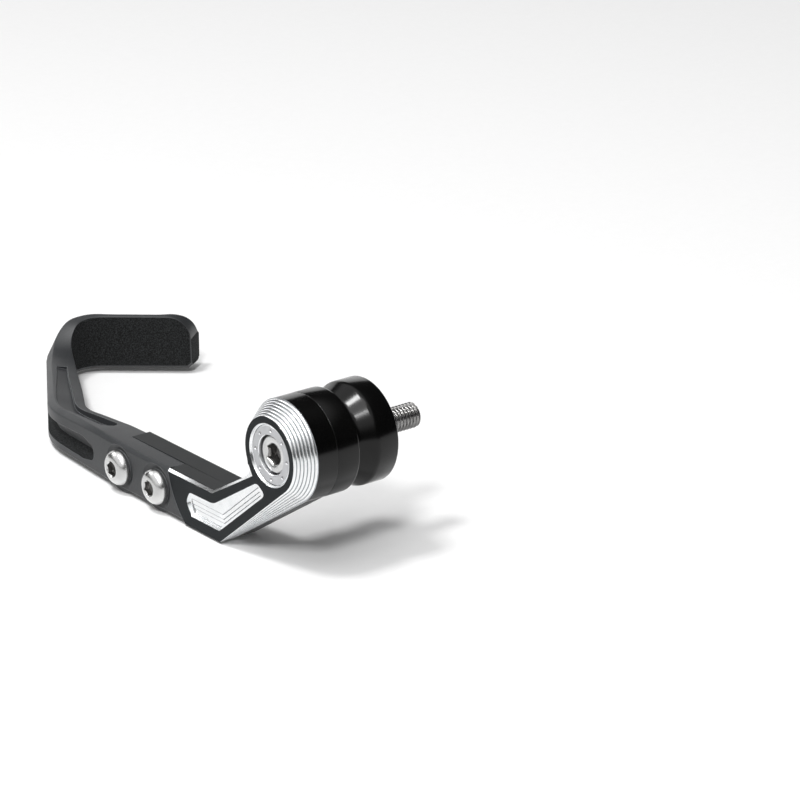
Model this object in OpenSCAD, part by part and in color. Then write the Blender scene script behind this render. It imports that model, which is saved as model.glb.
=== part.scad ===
// Brake lever guard for the left end of a motorbike's handlebar.
// Frame: the origin is on the hub's axis, at the flush rear face that seats on the bar's end.
// +X runs along the centre bolt into the bar, +Y points forward to the lever, +Z is up.

/* [Hub] */
// Outside diameter of the hub
hub_d = 32.5; // [28:0.5:34]
// Length of the hub from the rear seat to the front face
hub_len = 36.2; // [32:0.2:44]
// Diameter of the hub's flat front face, inside the ribbed bezel
bezel_face_d = 24; // [22:0.1:25]
// Length of the ribbed bezel cone along the axis
bezel_len = 6.1; // [4:0.1:8]
// Number of turned ribs on the bezel
bezel_ribs = 6; // [3:1:9]

/* [Arm bracket] */
// Thickness of the bracket's plate along the axis
arm_t = 13.4; // [11:0.2:16]
// Drop from the hub's axis to the arm's lower edge
arm_drop = 36.4; // [34:0.1:40]
// Height of the arm
arm_h = 15.6; // [13:0.1:17]
// Forward place of the lower corner of the vee
tip_fwd = 26; // [22:0.5:30]
// Forward place of the upper corner of the vee
vee_fwd = 29.7; // [28:0.1:34]
// Slope of the vee's upper edge, in degrees
vee_slope = 30.6; // [26:0.2:36]
// Radius of the fillet between the hub and the vee
vee_fillet_r = 6; // [4:0.5:8]
// Chamfer along the front upper edge
edge_chamfer = 0.8; // [0.4:0.1:1.6]
// Forward end of the lug that carries the blade
lug_end = 81.8; // [78:0.5:95]
// Length by which the lug reaches on below its top corner
lug_nose = 2.6; // [2:0.1:4]
// Thickness of the lug, the inboard half of the lap joint
lug_t = 6.7; // [5:0.1:8]
// Height that the lug's top stands above the blade's top
lug_proud = 0.1; // [0:0.1:1]
// Radius of the curved joint between the bracket's face and the blade
joint_r = 28; // [24:0.5:30]
// Forward place of the centre of the curved joint
joint_fwd = 25.5; // [22:0.5:27]
// Drop of the centre of the curved joint
joint_drop = 15.5; // [12:0.5:18]

/* [Vee pocket] */
// Border between the arm's edges and the terraced pocket
pocket_border = 3.5; // [2.5:0.1:4.5]
// Gap from the front ring's recess to the pocket's hub end
pocket_hub_gap = 2.9; // [2:0.1:4]
// Gap from the curved joint to the pocket's forward end
pocket_end_gap = 7; // [4:0.5:10]
// Number of terraces in the pocket
terraces = 4; // [2:1:5]
// Width of each terrace
terrace_w = 0.75; // [0.4:0.05:0.9]
// Drop of each terrace
terrace_drop = 0.3; // [0.1:0.05:0.5]

/* [Grooved spacer] */
// Length of the spacer's plain front collar
collar_len = 7.5; // [5:0.1:10]
// Width of the spacer's groove at its mouth
groove_w = 8.6; // [5:0.1:9]
// Depth of the spacer's groove
groove_depth = 3; // [1:0.1:4]
// Radius of the rounded shoulders beside the groove
shoulder_r = 1.2; // [0.5:0.1:1.8]

/* [Inner sleeve] */
// Diameter of the sleeve's rear flange
flange_d = 25.8; // [22:0.1:27]
// Thickness of the sleeve's rear flange
flange_t = 3; // [2:0.1:5]
// Outside diameter of the sleeve's tube
sleeve_d = 18; // [16:0.2:20]
// Length that the sleeve's tube reaches into the bracket
sleeve_reach = 3; // [1:0.2:4]
// Diameter of the sleeve's wide rear bore
rear_bore_d = 12.1; // [11:0.1:14]
// Depth of the sleeve's wide rear bore
rear_bore_l = 9; // [5:0.5:14]

/* [Cap ring] */
// Diameter of the silver ring in the hub's face
cap_d = 18.6; // [17.5:0.1:20]
// Radial width of the bright step round the ring
cap_step = 0.6; // [0.4:0.1:1]
// Depth of the ring's face below the hub's face
cap_sink = 0.6; // [0.2:0.1:1.5]
// Depth of the bolt's head below the ring's face
head_sink = 0.8; // [0.2:0.1:1.2]
// Length of the ring
cap_len = 9; // [8:0.5:12]
// Number of dimples in the ring
dimples = 8; // [4:1:12]
// Diameter of each dimple
dimple_d = 0.9; // [0.5:0.1:1.2]

/* [Centre bolt] */
// Nominal diameter of the bolt's thread
bolt_d = 8; // [6:1:8]
// Length that the bolt stands out of the rear seat
bolt_reach = 18.4; // [12:0.2:24]
// Diameter of the bolt's head
bolt_head_d = 11.6; // [11:0.1:12]
// Length of the bolt's head
bolt_head_l = 6; // [4:0.5:6.5]
// Size across the flats of the bolt's hexagon socket
bolt_hex = 6; // [5:0.5:6]
// Depth of the bolt's hexagon socket
bolt_hex_l = 4.6; // [4.2:0.1:5]
// Chamfer at the bolt's tip
bolt_tip_chamfer = 0.8; // [0.4:0.1:1.2]

/* [Blade screws] */
// Nominal diameter of the two button screws
screw_d = 6; // [5:0.5:6]
// Diameter of each button head
screw_head_d = 11.5; // [10:0.1:11.5]
// Height of each button head
screw_head_h = 3.6; // [3:0.1:4]
// Size across the flats of each hexagon socket
screw_hex = 4; // [3:0.5:4]
// Distance between the two screws
screw_gap = 20.3; // [18:0.1:22]
// Distance from the lug's end back to the front screw
screw_edge = 2; // [1:0.5:3.5]
// Drop of the screws below the hub's axis
screw_drop = 28.8; // [28:0.1:29.6]
// Depth of the round seat under each head
seat_depth = 0.5; // [0.2:0.1:0.8]
// Width of the seat's rim round each head
seat_rim = 0.7; // [0.4:0.1:1]

/* [Blade] */
// Forward distance from the lug's end to the first bend
bend1_fwd = 38.2; // [34:0.2:44]
// Inward offset of the inner face at the first bend
bend1_in = 1.7; // [0:0.1:3]
// Length of the slanting leg between the two bends
leg_len = 66.4; // [60:0.2:75]
// Angle of the slanting leg from straight ahead, in degrees
leg_angle = 27.6; // [24:0.2:32]
// Length of the end piece after the second bend
end_len = 42.8; // [38:0.2:50]
// Angle of the end piece from straight ahead, in degrees
end_angle = 129.6; // [126:0.2:132]
// Inner radius of the first bend
bend1_r = 22; // [14:1:28]
// Inner radius of the second bend
bend2_r = 10; // [7:0.5:12]
// Thickness of the blade at its lower edge after the second bend
blade_t = 7.2; // [6:0.1:9]
// Thickness of the blade at its lower edge at the first bend
blade_bend_t = 12.2; // [10:0.1:13]
// Rise of the lower edge from the lug to the tip
blade_rise = 1; // [0:0.1:3]
// Height of the end piece
end_h = 19.5; // [16:0.1:21]
// Height of the slanting leg at its lowest
leg_h = 11.5; // [10:0.1:14]
// Chamfer along the lower edges
blade_chamfer = 1.2; // [0.5:0.1:1.8]
// Radius of the rounded top corner at the tip
tip_r = 8; // [4:0.5:9]
// Slant of the end face, measured along the blade
tip_slant = 2.1; // [0:0.1:3]
// Depth of the groove along the top
channel_depth = 2.2; // [1:0.1:3]
// Depth of the pocket in the outer face at the first bend
scoop_depth = 2.8; // [1:0.1:4]

/* [Clearances] */
// Radial clearance between turned pieces
fit_gap = 0.1; // [0.05:0.01:0.15]
// Gap at the curved joint and in the lap joint
joint_gap = 0.15; // [0.1:0.05:0.3]
// Radial clearance round the bolt's shank
bolt_gap = 0.25; // [0.15:0.05:0.4]
// Radial clearance between a screw and its tapped hole
thread_gap = 0.05; // [0.03:0.01:0.1]

/* [Hidden] */
$fn = 96;
eps = 0.01;
// Length by which stacked slabs of one solid run into each other
overlap = 0.05;
hub_r = hub_d / 2;
face_x = -hub_len;
seam_x = face_x + arm_t;
bezel_x = face_x + bezel_len;
lap_x = seam_x - lug_t;
face_r = bezel_face_d / 2;
cap_r = cap_d / 2;
shank_r = bolt_d / 2 - 0.4;
hole_r = bolt_d / 2 + bolt_gap;
arm_z0 = -arm_drop;
arm_z1 = arm_z0 + arm_h;
pocket_r = cap_r + cap_step + pocket_hub_gap;
screw_ys = [lug_end - screw_edge, lug_end - screw_edge - screw_gap];
screw_r = screw_d / 2;
head_r = screw_head_d / 2;
seat_x = face_x + seat_depth;
collar_x = seam_x + collar_len;
rim_x = collar_x + groove_w;
hub_facets = 120;

// Helpers

// Turns a shape drawn along +Z so that it runs along +X, with its own X pointing to -Z.
module along_x(x = 0, y = 0, z = 0) {
    translate([x, y, z]) rotate([0, 90, 0]) children();
}

// A plate between two places along X, from an outline whose points are [forward, up].
module plate_x(x0, x1) {
    translate([x0, 0, 0]) rotate([90, 0, 90]) linear_extrude(x1 - x0) children();
}

// Point where a line from p touches the circle of radius r round the axis, on the lower side.
function tangent_point(p, r) =
    let (d = norm(p), a = atan2(-p[1], -p[0]) + asin(r / d), t = sqrt(d * d - r * r))
    [p[0] + t * cos(a), p[1] + t * sin(a)];

// The bracket's outline

vee_low = [tip_fwd, arm_z0];
vee_top = [vee_fwd, arm_z1];
slope_dir = [-cos(vee_slope), sin(vee_slope)];
slope_out = [sin(vee_slope), cos(vee_slope)];
// Place along the upper slope, measured from the vee's upper corner
function on_slope(t) = vee_top + t * slope_dir;
// Distance along the upper slope to a circle of radius r round the axis
function slope_to(r) =
    let (b = vee_top * slope_dir, c = vee_top * vee_top - r * r)
    -b - sqrt(b * b - c);
// Centre of a fillet that touches the upper slope and a circle of radius r round the axis
function fillet_centre(r) =
    let (h = vee_top * slope_out + vee_fillet_r,
         along = sqrt(pow(r + vee_fillet_r, 2) - h * h))
    h * slope_out - along * slope_dir;

// Round of the hub from the lower tangent, over the top, to the fillet
function hub_arc(r) =
    let (t = tangent_point(vee_low, r), c = fillet_centre(r),
         a0 = atan2(t[1], t[0]), a1 = atan2(c[1], c[0]), n = hub_facets * 3 / 4)
    [for (i = [0 : n]) let (a = a0 - (360 - a1 + a0) * i / n) r * [cos(a), sin(a)]];

// Concave corner between the hub and the vee's upper slope
function fillet_arc(r) =
    let (c = fillet_centre(r), a0 = atan2(c[1], c[0]) + 180, a1 = 270 - vee_slope)
    [for (i = [1 : 9]) let (a = a0 + (a1 - a0) * i / 9) c + vee_fillet_r * [cos(a), sin(a)]];

// Curved forward end of the bracket's outboard half, from the top down
function joint_arc() =
    let (a1 = asin((arm_z1 + joint_drop) / joint_r), a0 = asin((arm_z0 + joint_drop) / joint_r))
    [for (i = [0 : 8]) let (a = a1 + (a0 - a1) * i / 8)
        [joint_fwd + joint_r * cos(a), -joint_drop + joint_r * sin(a)]];

// Forward end of the lug, which reaches further below its top corner, round the front screw
function lug_face(gap) = [[lug_end + gap, arm_z1 + lug_proud + gap],
    [lug_end + lug_nose + gap, arm_z1 - lug_nose], [lug_end + lug_nose + gap, arm_z0 - gap]];

// Outline of the bracket where the hub has the radius r: each rib of the bezel runs out along
// the lower slope to the vee's lower corner
function outline(r, far_end) = concat([vee_low], hub_arc(r), fillet_arc(r), [vee_top], far_end);

// Outline of the terraced pocket, shrunk by the terraces above it
module pocket_outline(inset) {
    b = pocket_border + 0.4;
    shift = slope_out * -b;
    corner_y = vee_fwd - b * tan(vee_slope / 2);
    low_dir = (tangent_point(vee_low, face_r) - vee_low) / norm(tangent_point(vee_low, face_r) - vee_low);
    low_out = [low_dir[1], -low_dir[0]];
    low_y = vee_low[0] + (pocket_border * (1 - low_out[1])) / low_out[0] * 0.5;
    end_y = joint_fwd + joint_r - pocket_end_gap - pocket_border;
    offset(delta = -inset) offset(r = 1.2, $fn = 24) offset(delta = -1.2) difference() {
        polygon([[corner_y, arm_z1 - b], [end_y, arm_z1 - b], [end_y + 1, arm_z1 - b - 2.5],
                 [end_y - 1.5, arm_z0 + pocket_border], [low_y, arm_z0 + pocket_border],
                 [low_y, arm_z0 + pocket_border] + 40 * low_dir,
                 [corner_y, arm_z1 - b] + 40 * slope_dir]);
        circle(r = pocket_r, $fn = hub_facets);
    }
}

module vee_pocket() {
    for (i = [0 : terraces - 1])
        plate_x(face_x - eps, face_x + (i + 1) * terrace_drop) pocket_outline(i * terrace_w);
}

// The blade's path and section

// Points of a rounded corner of radius r at k, between the directions of a and b
function corner(a, k, b, r, n) =
    let (u = (a - k) / norm(a - k), w = (b - k) / norm(b - k), half = acos(u * w) / 2,
         c = k + (u + w) / norm(u + w) * r / sin(half), p = k + u * r / tan(half),
         q = k + w * r / tan(half), a0 = atan2(p[1] - c[1], p[0] - c[0]),
         a1 = atan2(q[1] - c[1], q[0] - c[0]), turn = (a1 - a0 + 540) % 360 - 180)
    [for (i = [0 : n]) c + r * [cos(a0 + turn * i / n), sin(a0 + turn * i / n)]];

blade_y0 = joint_fwd;
knee0 = [seam_x, blade_y0];
knee_lug = [seam_x, lug_end];
knee1 = [seam_x + bend1_in, lug_end + bend1_fwd];
knee2 = knee1 + leg_len * [sin(leg_angle), cos(leg_angle)];
knee3 = knee2 + end_len * [sin(end_angle), cos(end_angle)];
path = concat([knee0, knee_lug], corner(knee_lug, knee1, knee2, bend1_r, 6),
              corner(knee1, knee2, knee3, bend2_r, 14), [knee3]);
function run(i) = i == 0 ? 0 : run(i - 1) + norm(path[i] - path[i - 1]);
path_x = [for (i = [0 : len(path) - 1]) [run(i), path[i][0]]];
path_y = [for (i = [0 : len(path) - 1]) [run(i), path[i][1]]];
s_end = run(len(path) - 1);
// Place of the path's own landmarks along it
s_lug = lug_end - blade_y0;
s_bend1 = run(5);
s_turn = run(9);
s_bend2 = run(16);
s_out = run(23);
s_dip = s_turn - 12;

function path_at(s) = [lookup(s, path_x), lookup(s, path_y)];
function heading(s) = let (d = path_at(s + 0.4) - path_at(s - 0.4)) d / norm(d);

// Height of the lower edge along the path
function low_z(s) = arm_z0 + blade_rise * s / s_end;
// Distance of the outer face from the inner lower edge
function outer(s) = lookup(s, [[0, arm_t], [s_lug + 8, arm_t], [s_bend1, blade_bend_t],
    [s_turn, blade_t + 0.8], [s_bend2 - 6, blade_t - 0.6], [s_out, blade_t], [s_end, blade_t]]);
// Top of the flat along the outer side, before the tip's rounding
end_top = arm_z0 + blade_rise + end_h;
function crest(s) = lookup(s, [[0, arm_z1], [s_lug, arm_z1 + 0.4], [s_lug + 10, arm_z1 + 0.7],
    [s_bend1 - 10, arm_z1 - 0.3], [s_bend1 + 6, arm_z1 - 2.2], [s_dip, low_z(s_dip) + leg_h],
    [s_turn - 6, low_z(s_turn) + leg_h], [s_turn, low_z(s_turn) + leg_h + 1],
    [s_turn + 5, low_z(s_turn) + leg_h + 4], [s_bend2 - 1, end_top - 1.9], [s_bend2 + 5, end_top - 0.4],
    [s_out, end_top], [s_end, end_top]]);
// Drop of the rounded top corner at the tip
function tip_drop(s) = let (u = max(0, s - (s_end - tip_r))) tip_r - sqrt(max(0, tip_r * tip_r - u * u));
// Drop from the crest to the inner top edge
function inner_drop(s) = lookup(s, [[0, 0.6], [s_lug, 0.8], [s_lug + 10, 1.6], [s_bend1 - 8, 2.6],
    [s_bend1 + 10, 2], [s_dip, 1], [s_turn, 0.4], [s_out, 0.6], [s_end, 0.6]]);
// Distance of the crest's outer and inner edges from the inner lower edge
function crest_out(s) = lookup(s, [[0, arm_t - 0.8], [s_lug + 8, arm_t - 1], [s_bend1, blade_bend_t - 2.4],
    [s_dip, blade_t], [s_turn - 3, blade_t - 1.4], [s_bend2, 3], [s_out, 0.8], [s_end - 10, 0.7],
    [s_end, 4]]);
function crest_in(s) = lookup(s, [[0, 0.4], [s_lug + 10, 0.5], [s_bend1, 0.3], [s_bend1 + 15, -0.4],
    [s_dip, -0.9], [s_bend2, -1.5], [s_out, -1], [s_end, -1]]);
// Height where the outer bevel starts
function bevel_z(s) = lookup(s, [[0, arm_z1 - 1.1], [s_lug + 14, arm_z1 - 1.2], [s_bend1, arm_z1 - 2],
    [s_bend1 + 30, arm_z1 - 5.2], [s_bend2, arm_z1 - 6], [s_out, end_top - 9.4], [s_end, end_top - 9.4]]);

// Section as [offset, height] pairs, from the inner lower edge outwards and over the top
function section(s) =
    let (zb = low_z(s), o = outer(s), c = blade_chamfer, zc = crest(s) - tip_drop(s),
         ze = min(bevel_z(s), zc - 0.4))
    [[0, zb + c], [c, zb], [o - c, zb], [o, zb + c], [o, ze], [crest_out(s), zc],
     [crest_in(s), zc - inner_drop(s)]];

// Solid swept along the path between two places, from a list of sections
module sweep(stations, sections, slant = 0) {
    n = len(sections[0]);
    last = len(stations) - 1;
    points = [for (k = [0 : last]) let (s = stations[k], h = heading(s), p = path_at(s),
                  lean = slant * max(0, 1 - (s_end - s) / 10))
              for (q = sections[k]) let (a = p + q[0] * ([-h[1], h[0]] + h * lean / blade_t))
              [a[0], a[1], q[1]]];
    sides = [for (k = [0 : last - 1]) for (i = [0 : n - 1]) let (j = (i + 1) % n)
             each [[k * n + i, (k + 1) * n + j, k * n + j], [k * n + i, (k + 1) * n + i, (k + 1) * n + j]]];
    polyhedron(points, concat([[for (i = [0 : n - 1]) i]], sides,
                              [[for (i = [n - 1 : -1 : 0]) last * n + i]]), convexity = 6);
}

function stations(a, b, step) = let (n = ceil((b - a) / step)) [for (i = [0 : n]) a + (b - a) * i / n];

module blade_body() {
    st = concat(stations(0, s_end - tip_r, 2.2), [for (a = [12 : 13 : 90]) s_end - tip_r + tip_r * sin(a)]);
    sweep(st, [for (s = st) section(s)], tip_slant);
}

// Groove along the top, from near the lug to the start of the second bend
module top_channel() {
    a = s_lug + 12;
    b = s_turn - 15;
    st = concat([a], stations(a + 3, b, 2.5));
    function inner_side(s) = lookup(s, [[a, 5], [a + 3, 3.3], [s_bend1, 3.6], [b - 10, 2.8], [b, 2.1]]);
    function outer_side(s) = lookup(s, [[a, 6.6], [a + 3, 8.4], [s_bend1, 9], [s_bend1 + 15, 7.8], [b - 10, 6.3], [b, 5.4]]);
    sweep(st, [for (s = st) let (top = crest(s) + 4, floor = crest(s) - channel_depth)
               [[inner_side(s) + 0.3, floor], [outer_side(s) - 0.3, floor], [outer_side(s), top], [inner_side(s), top]]]);
}

// Pocket in the outer face, round the first bend
module outer_scoop() {
    a = s_lug + 15;
    b = s_bend1 + 16;
    st = concat([a, a + 1.5, a + 4], stations(a + 7, b, 3));
    function bite(s) = lookup(s, [[a, 0.6], [a + 4, scoop_depth], [s_bend1 + 4, scoop_depth], [b, 0.3]]);
    function up(s) = lookup(s, [[a, arm_z0 + 8], [a + 1.5, arm_z0 + 9.6], [a + 7, arm_z0 + 11.2], [b, arm_z0 + 9.6]]);
    function down(s) = lookup(s, [[a, arm_z0 + 5], [a + 1.5, arm_z0 + 3.8], [a + 7, arm_z0 + 2.8], [b, arm_z0 + 3.4]]);
    sweep(st, [for (s = st) let (o = outer(s))
               [[o - bite(s) * 0.35, down(s) + 0.5], [o + 3, down(s)], [o + 3, up(s)], [o - bite(s), up(s) - 1]]]);
}

// Sub-parts

module guard_blade() {
    color([0.22, 0.23, 0.24]) difference() {
        union() {
            blade_body();
            for (y = screw_ys) along_x(face_x + 0.6, y, -screw_drop)
                cylinder(h = arm_t - lug_t - joint_gap - 0.6, r = arm_drop - screw_drop + 0.8);
        }
        // The lap joint, where the bracket's lug takes the inboard half
        plate_x(lap_x - joint_gap, seam_x + 5) polygon(concat(
            [[blade_y0 - 1, arm_z0 - 2], [blade_y0 - 1, arm_z1 + 5], [lug_end + joint_gap, arm_z1 + 5]],
            lug_face(joint_gap), [[lug_end + lug_nose + joint_gap, arm_z0 - 2]]));
        along_x(face_x - 1, joint_fwd, -joint_drop)
            cylinder(h = arm_t + 2, r = joint_r + joint_gap, $fn = 180);
        top_channel();
        outer_scoop();
        for (y = screw_ys) {
            along_x(face_x - 1, y, -screw_drop) cylinder(h = arm_t, r = screw_r + fit_gap);
            along_x(face_x - 5, y, -screw_drop) cylinder(h = 5 + seat_depth, r = head_r + seat_rim);
        }
    }
}

module arm_bracket() {
    color([0.17, 0.18, 0.19]) difference() {
        union() {
            ribs();
            plate_x(bezel_x, lap_x + overlap) polygon(outline(hub_r, joint_arc()));
            plate_x(lap_x, seam_x) polygon(outline(hub_r, lug_face(0)));
        }
        vee_pocket();
        upper_chamfer();
        // Seat of the cap ring, with its bright step
        along_x(face_x - eps) cylinder(h = cap_len + cap_sink + eps, r = cap_r + fit_gap);
        along_x(face_x - eps) cylinder(h = cap_sink + eps, r = cap_r + cap_step);
        along_x(face_x) cylinder(h = arm_t + 1, r = hole_r);
        along_x(seam_x - sleeve_reach) cylinder(h = sleeve_reach + 1, r = sleeve_d / 2 + fit_gap);
        for (y = screw_ys) along_x(lap_x - 1, y, -screw_drop)
            cylinder(h = lug_t + 2, r = screw_r + thread_gap);
    }
}

// The stepped ribs between the hub's front face and its full diameter
module ribs() {
    pitch = bezel_len / bezel_ribs;
    for (i = [0 : bezel_ribs - 1])
        plate_x(face_x + i * pitch, face_x + (i + 1) * pitch + overlap)
            polygon(outline(face_r + (hub_r - face_r) * i / bezel_ribs, joint_arc()));
}

// Chamfer along the front upper edge of the vee
module upper_chamfer() {
    c = edge_chamfer;
    end = on_slope(slope_to(hub_r) - 1);
    for (seg = [[vee_top, [lug_end, arm_z1]], [end, vee_top]])
        hull() for (p = seg)
            translate([face_x, p[0], p[1]]) rotate([0, 45, 0])
                cube([c * sqrt(2), 0.1, c * sqrt(2)], center = true);
}

module grooved_spacer() {
    mid = (collar_x + rim_x) / 2 - seam_x;
    neck = hub_r - groove_depth;
    function shoulder(x, dir) = [for (a = [0 : 15 : 60])
        [hub_r - shoulder_r + shoulder_r * cos(a), x + dir * shoulder_r * sin(a)]];
    lip = hub_r - shoulder_r + shoulder_r * cos(60);
    lip_in = shoulder_r * sin(60);
    function floor_arc() = [for (i = [0 : 8]) let (t = i / 8 * 2 - 1, half = groove_w / 2 - lip_in)
        [neck + (lip - neck) * pow(abs(t), 3), mid + t * half]];
    color([0.09, 0.09, 0.1]) difference() {
        along_x(seam_x) rotate_extrude($fn = hub_facets) polygon(concat(
            [[0, 0], [hub_r, 0]], shoulder(collar_len, 1), floor_arc(),
            [for (i = [4 : -1 : 0]) shoulder(collar_len + groove_w, -1)[i]],
            [[hub_r, -seam_x - 0.4], [hub_r - 0.4, -seam_x], [0, -seam_x]]));
        along_x(seam_x - 1) cylinder(h = -seam_x + 2, r = sleeve_d / 2 + fit_gap);
        along_x(-flange_t) cylinder(h = flange_t + 1, r = flange_d / 2 + fit_gap);
    }
}

module inner_sleeve() {
    color([0.85, 0.85, 0.86]) difference() {
        union() {
            along_x(-flange_t) cylinder(h = flange_t, r = flange_d / 2);
            along_x(seam_x - sleeve_reach) cylinder(h = -seam_x + sleeve_reach, r = sleeve_d / 2);
        }
        along_x(seam_x - sleeve_reach - 1) cylinder(h = -seam_x + sleeve_reach + 2, r = hole_r);
        along_x(-rear_bore_l) cylinder(h = rear_bore_l + 1, r = rear_bore_d / 2);
    }
}

module cap_ring() {
    front = face_x + cap_sink;
    head_hole = bolt_head_d / 2 + 0.35;
    color([0.8, 0.8, 0.81]) difference() {
        along_x(front) cylinder(h = cap_len, r = cap_r);
        along_x(front - 1) cylinder(h = cap_len + 2, r = hole_r);
        along_x(front - 1) cylinder(h = bolt_head_l + head_sink + 1, r = head_hole);
        for (i = [0 : dimples - 1]) rotate([i * 360 / dimples + 12, 0, 0])
            along_x(front - 1, 0, (cap_r + head_hole) / 2) cylinder(h = 1.4, d = dimple_d, $fn = 24);
    }
}

module centre_bolt() {
    front = face_x + cap_sink + head_sink;
    seat = front + bolt_head_l;
    color([0.7, 0.7, 0.7]) difference() {
        union() {
            along_x(front) cylinder(h = 0.5, r1 = bolt_head_d / 2 - 0.5, r2 = bolt_head_d / 2);
            along_x(front + 0.5) cylinder(h = bolt_head_l - 0.5, r = bolt_head_d / 2);
            along_x(seat) cylinder(h = -seat, r = shank_r);
            along_x(-0.5) cylinder(h = bolt_reach + 0.5 - bolt_tip_chamfer, r = bolt_d / 2);
            along_x(bolt_reach - bolt_tip_chamfer)
                cylinder(h = bolt_tip_chamfer, r1 = bolt_d / 2, r2 = bolt_d / 2 - bolt_tip_chamfer);
        }
        along_x(front - 1) cylinder(h = bolt_hex_l + 1, r = bolt_hex / sqrt(3), $fn = 6);
    }
}

module guard_screw(y) {
    color([0.82, 0.82, 0.82]) translate([0, y, -screw_drop]) difference() {
        union() {
            // Domed button head
            along_x(seat_x) rotate_extrude() polygon(concat([[0, 0], [head_r, 0], [head_r, -0.5]],
                [for (a = [10 : 10 : 60]) [head_r * cos(a * 0.8), -0.5 - (screw_head_h - 0.5) * sin(a) / sin(60)]],
                [[0, -screw_head_h]]));
            along_x(seat_x - eps) cylinder(h = seam_x - seat_x + eps, r = screw_r);
        }
        along_x(seat_x - screw_head_h - 1) cylinder(h = 3.2, r = screw_hex / sqrt(3), $fn = 6);
    }
}

module guard_screw_front() { guard_screw(screw_ys[0]); }
module guard_screw_rear() { guard_screw(screw_ys[1]); }

guard_blade();
arm_bracket();
grooved_spacer();
inner_sleeve();
cap_ring();
centre_bolt();
guard_screw_front();
guard_screw_rear();
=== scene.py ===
"""Brake lever guard for the end of a motorbike's handlebar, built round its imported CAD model.

Lengths are millimetres until a piece is finished, and metres from then on. The frame is the CAD
model's: the hub's axis is X, the bolt points to +X into the bar, +Y is forward and +Z is up.
"""

import logging
import math
from dataclasses import dataclass
from enum import Enum, IntEnum
from typing import Callable, Sequence

import bmesh
import bpy
from mathutils import Matrix, Vector


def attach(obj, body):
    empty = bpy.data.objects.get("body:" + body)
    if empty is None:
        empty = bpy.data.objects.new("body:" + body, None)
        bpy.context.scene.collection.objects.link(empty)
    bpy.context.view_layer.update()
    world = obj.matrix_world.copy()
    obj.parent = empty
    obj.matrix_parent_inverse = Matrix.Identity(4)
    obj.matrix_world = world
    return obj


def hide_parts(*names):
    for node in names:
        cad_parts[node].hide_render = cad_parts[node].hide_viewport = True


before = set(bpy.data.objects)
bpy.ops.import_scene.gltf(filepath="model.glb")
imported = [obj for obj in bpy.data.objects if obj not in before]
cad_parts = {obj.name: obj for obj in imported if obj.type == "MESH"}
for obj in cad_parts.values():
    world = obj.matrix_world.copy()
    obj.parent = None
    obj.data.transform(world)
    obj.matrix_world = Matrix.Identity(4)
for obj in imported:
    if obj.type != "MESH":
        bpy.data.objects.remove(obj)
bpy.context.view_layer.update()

LOG = logging.getLogger("lever_guard")
MM = 0.001
FACETS = 192
# A wave texture of scale 1 repeats every 2 pi / 20 units
WAVE_UNIT = 2 * math.pi / 20
Pair = tuple[float, float]
Spot = tuple[float, float, float]
Table = Sequence[Pair]


class Slot(Enum):
    """The material slots."""

    MOULDED = "moulded_black"
    ANODISED = "anodised_black"
    GLOSS = "anodised_gloss"
    BARE = "bare_aluminium"
    STEEL = "bolt_steel"


class Cut(Enum):
    """What a tool body does to the piece that it meets."""

    TAKE_AWAY = "DIFFERENCE"
    JOIN = "UNION"


class ArmFace(IntEnum):
    """Material numbers of the bracket's faces, in the order of its finishes."""

    SATIN = 0
    CUT = 1
    GLOSS = 2
    GROOVE_SHADE = 3
    STEP_SHADE = 4


class BladeFace(IntEnum):
    """Material numbers of the blade's faces."""

    SMOOTH = 0
    SAND_AND_SHADE = 1


class RingFace(IntEnum):
    """Material numbers of the cap ring's faces."""

    TURNED = 0
    CUT = 1
    DARK = 2


class BoltFace(IntEnum):
    """Material numbers of the bolt's and the screws' faces."""

    PLATED = 0
    DARK = 1


# Colour and nodes


def linear(code: str) -> tuple[float, float, float, float]:
    """Turns an sRGB hex colour into linear RGBA.

    Args:
        code: Six hex digits, with or without a leading #.

    Returns:
        Red, green, blue and alpha, linear.
    """
    digits = code.lstrip("#")
    parts = [int(digits[i : i + 2], 16) / 255 for i in (0, 2, 4)]
    red, green, blue = (p / 12.92 if p <= 0.04045 else ((p + 0.055) / 1.055) ** 2.4 for p in parts)
    return (red, green, blue, 1.0)


def add_node(
    tree: bpy.types.NodeTree,
    kind: str,
    settings: dict[str, object] | None = None,
    sockets: dict[str | int, object] | None = None,
) -> bpy.types.Node:
    """Adds one shader node with its settings, its values and its links.

    Args:
        tree: The node tree that takes the node.
        kind: The node's type name.
        settings: Properties of the node itself; "stops" holds a ramp's rows of place and hex colour.
        sockets: Input name or number to a plain value, or to the output socket it is linked from.

    Returns:
        The new node.
    """
    node = tree.nodes.new(kind)
    for key, value in (settings or {}).items():
        if key != "stops":
            setattr(node, key, value)
            continue
        elements = node.color_ramp.elements
        while len(elements) < len(value):
            elements.new(1.0)
        for element, (place, code) in zip(elements, value):
            element.position, element.color = place, linear(code)
    for key, value in (sockets or {}).items():
        if isinstance(value, bpy.types.NodeSocket):
            tree.links.new(value, node.inputs[key])
        else:
            node.inputs[key].default_value = value
    return node


def per_mm(size_mm: float) -> float:
    """Returns the noise scale whose features lie a given number of millimetres apart."""
    return 1 / (size_mm * MM)


def new_material(name: str) -> tuple[bpy.types.Material, bpy.types.NodeTree]:
    """Makes an empty node material.

    Args:
        name: The material's name.

    Returns:
        The material and its node tree.
    """
    material = bpy.data.materials.new(name)
    material.use_nodes = True
    material.node_tree.nodes.clear()
    return material, material.node_tree


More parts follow.
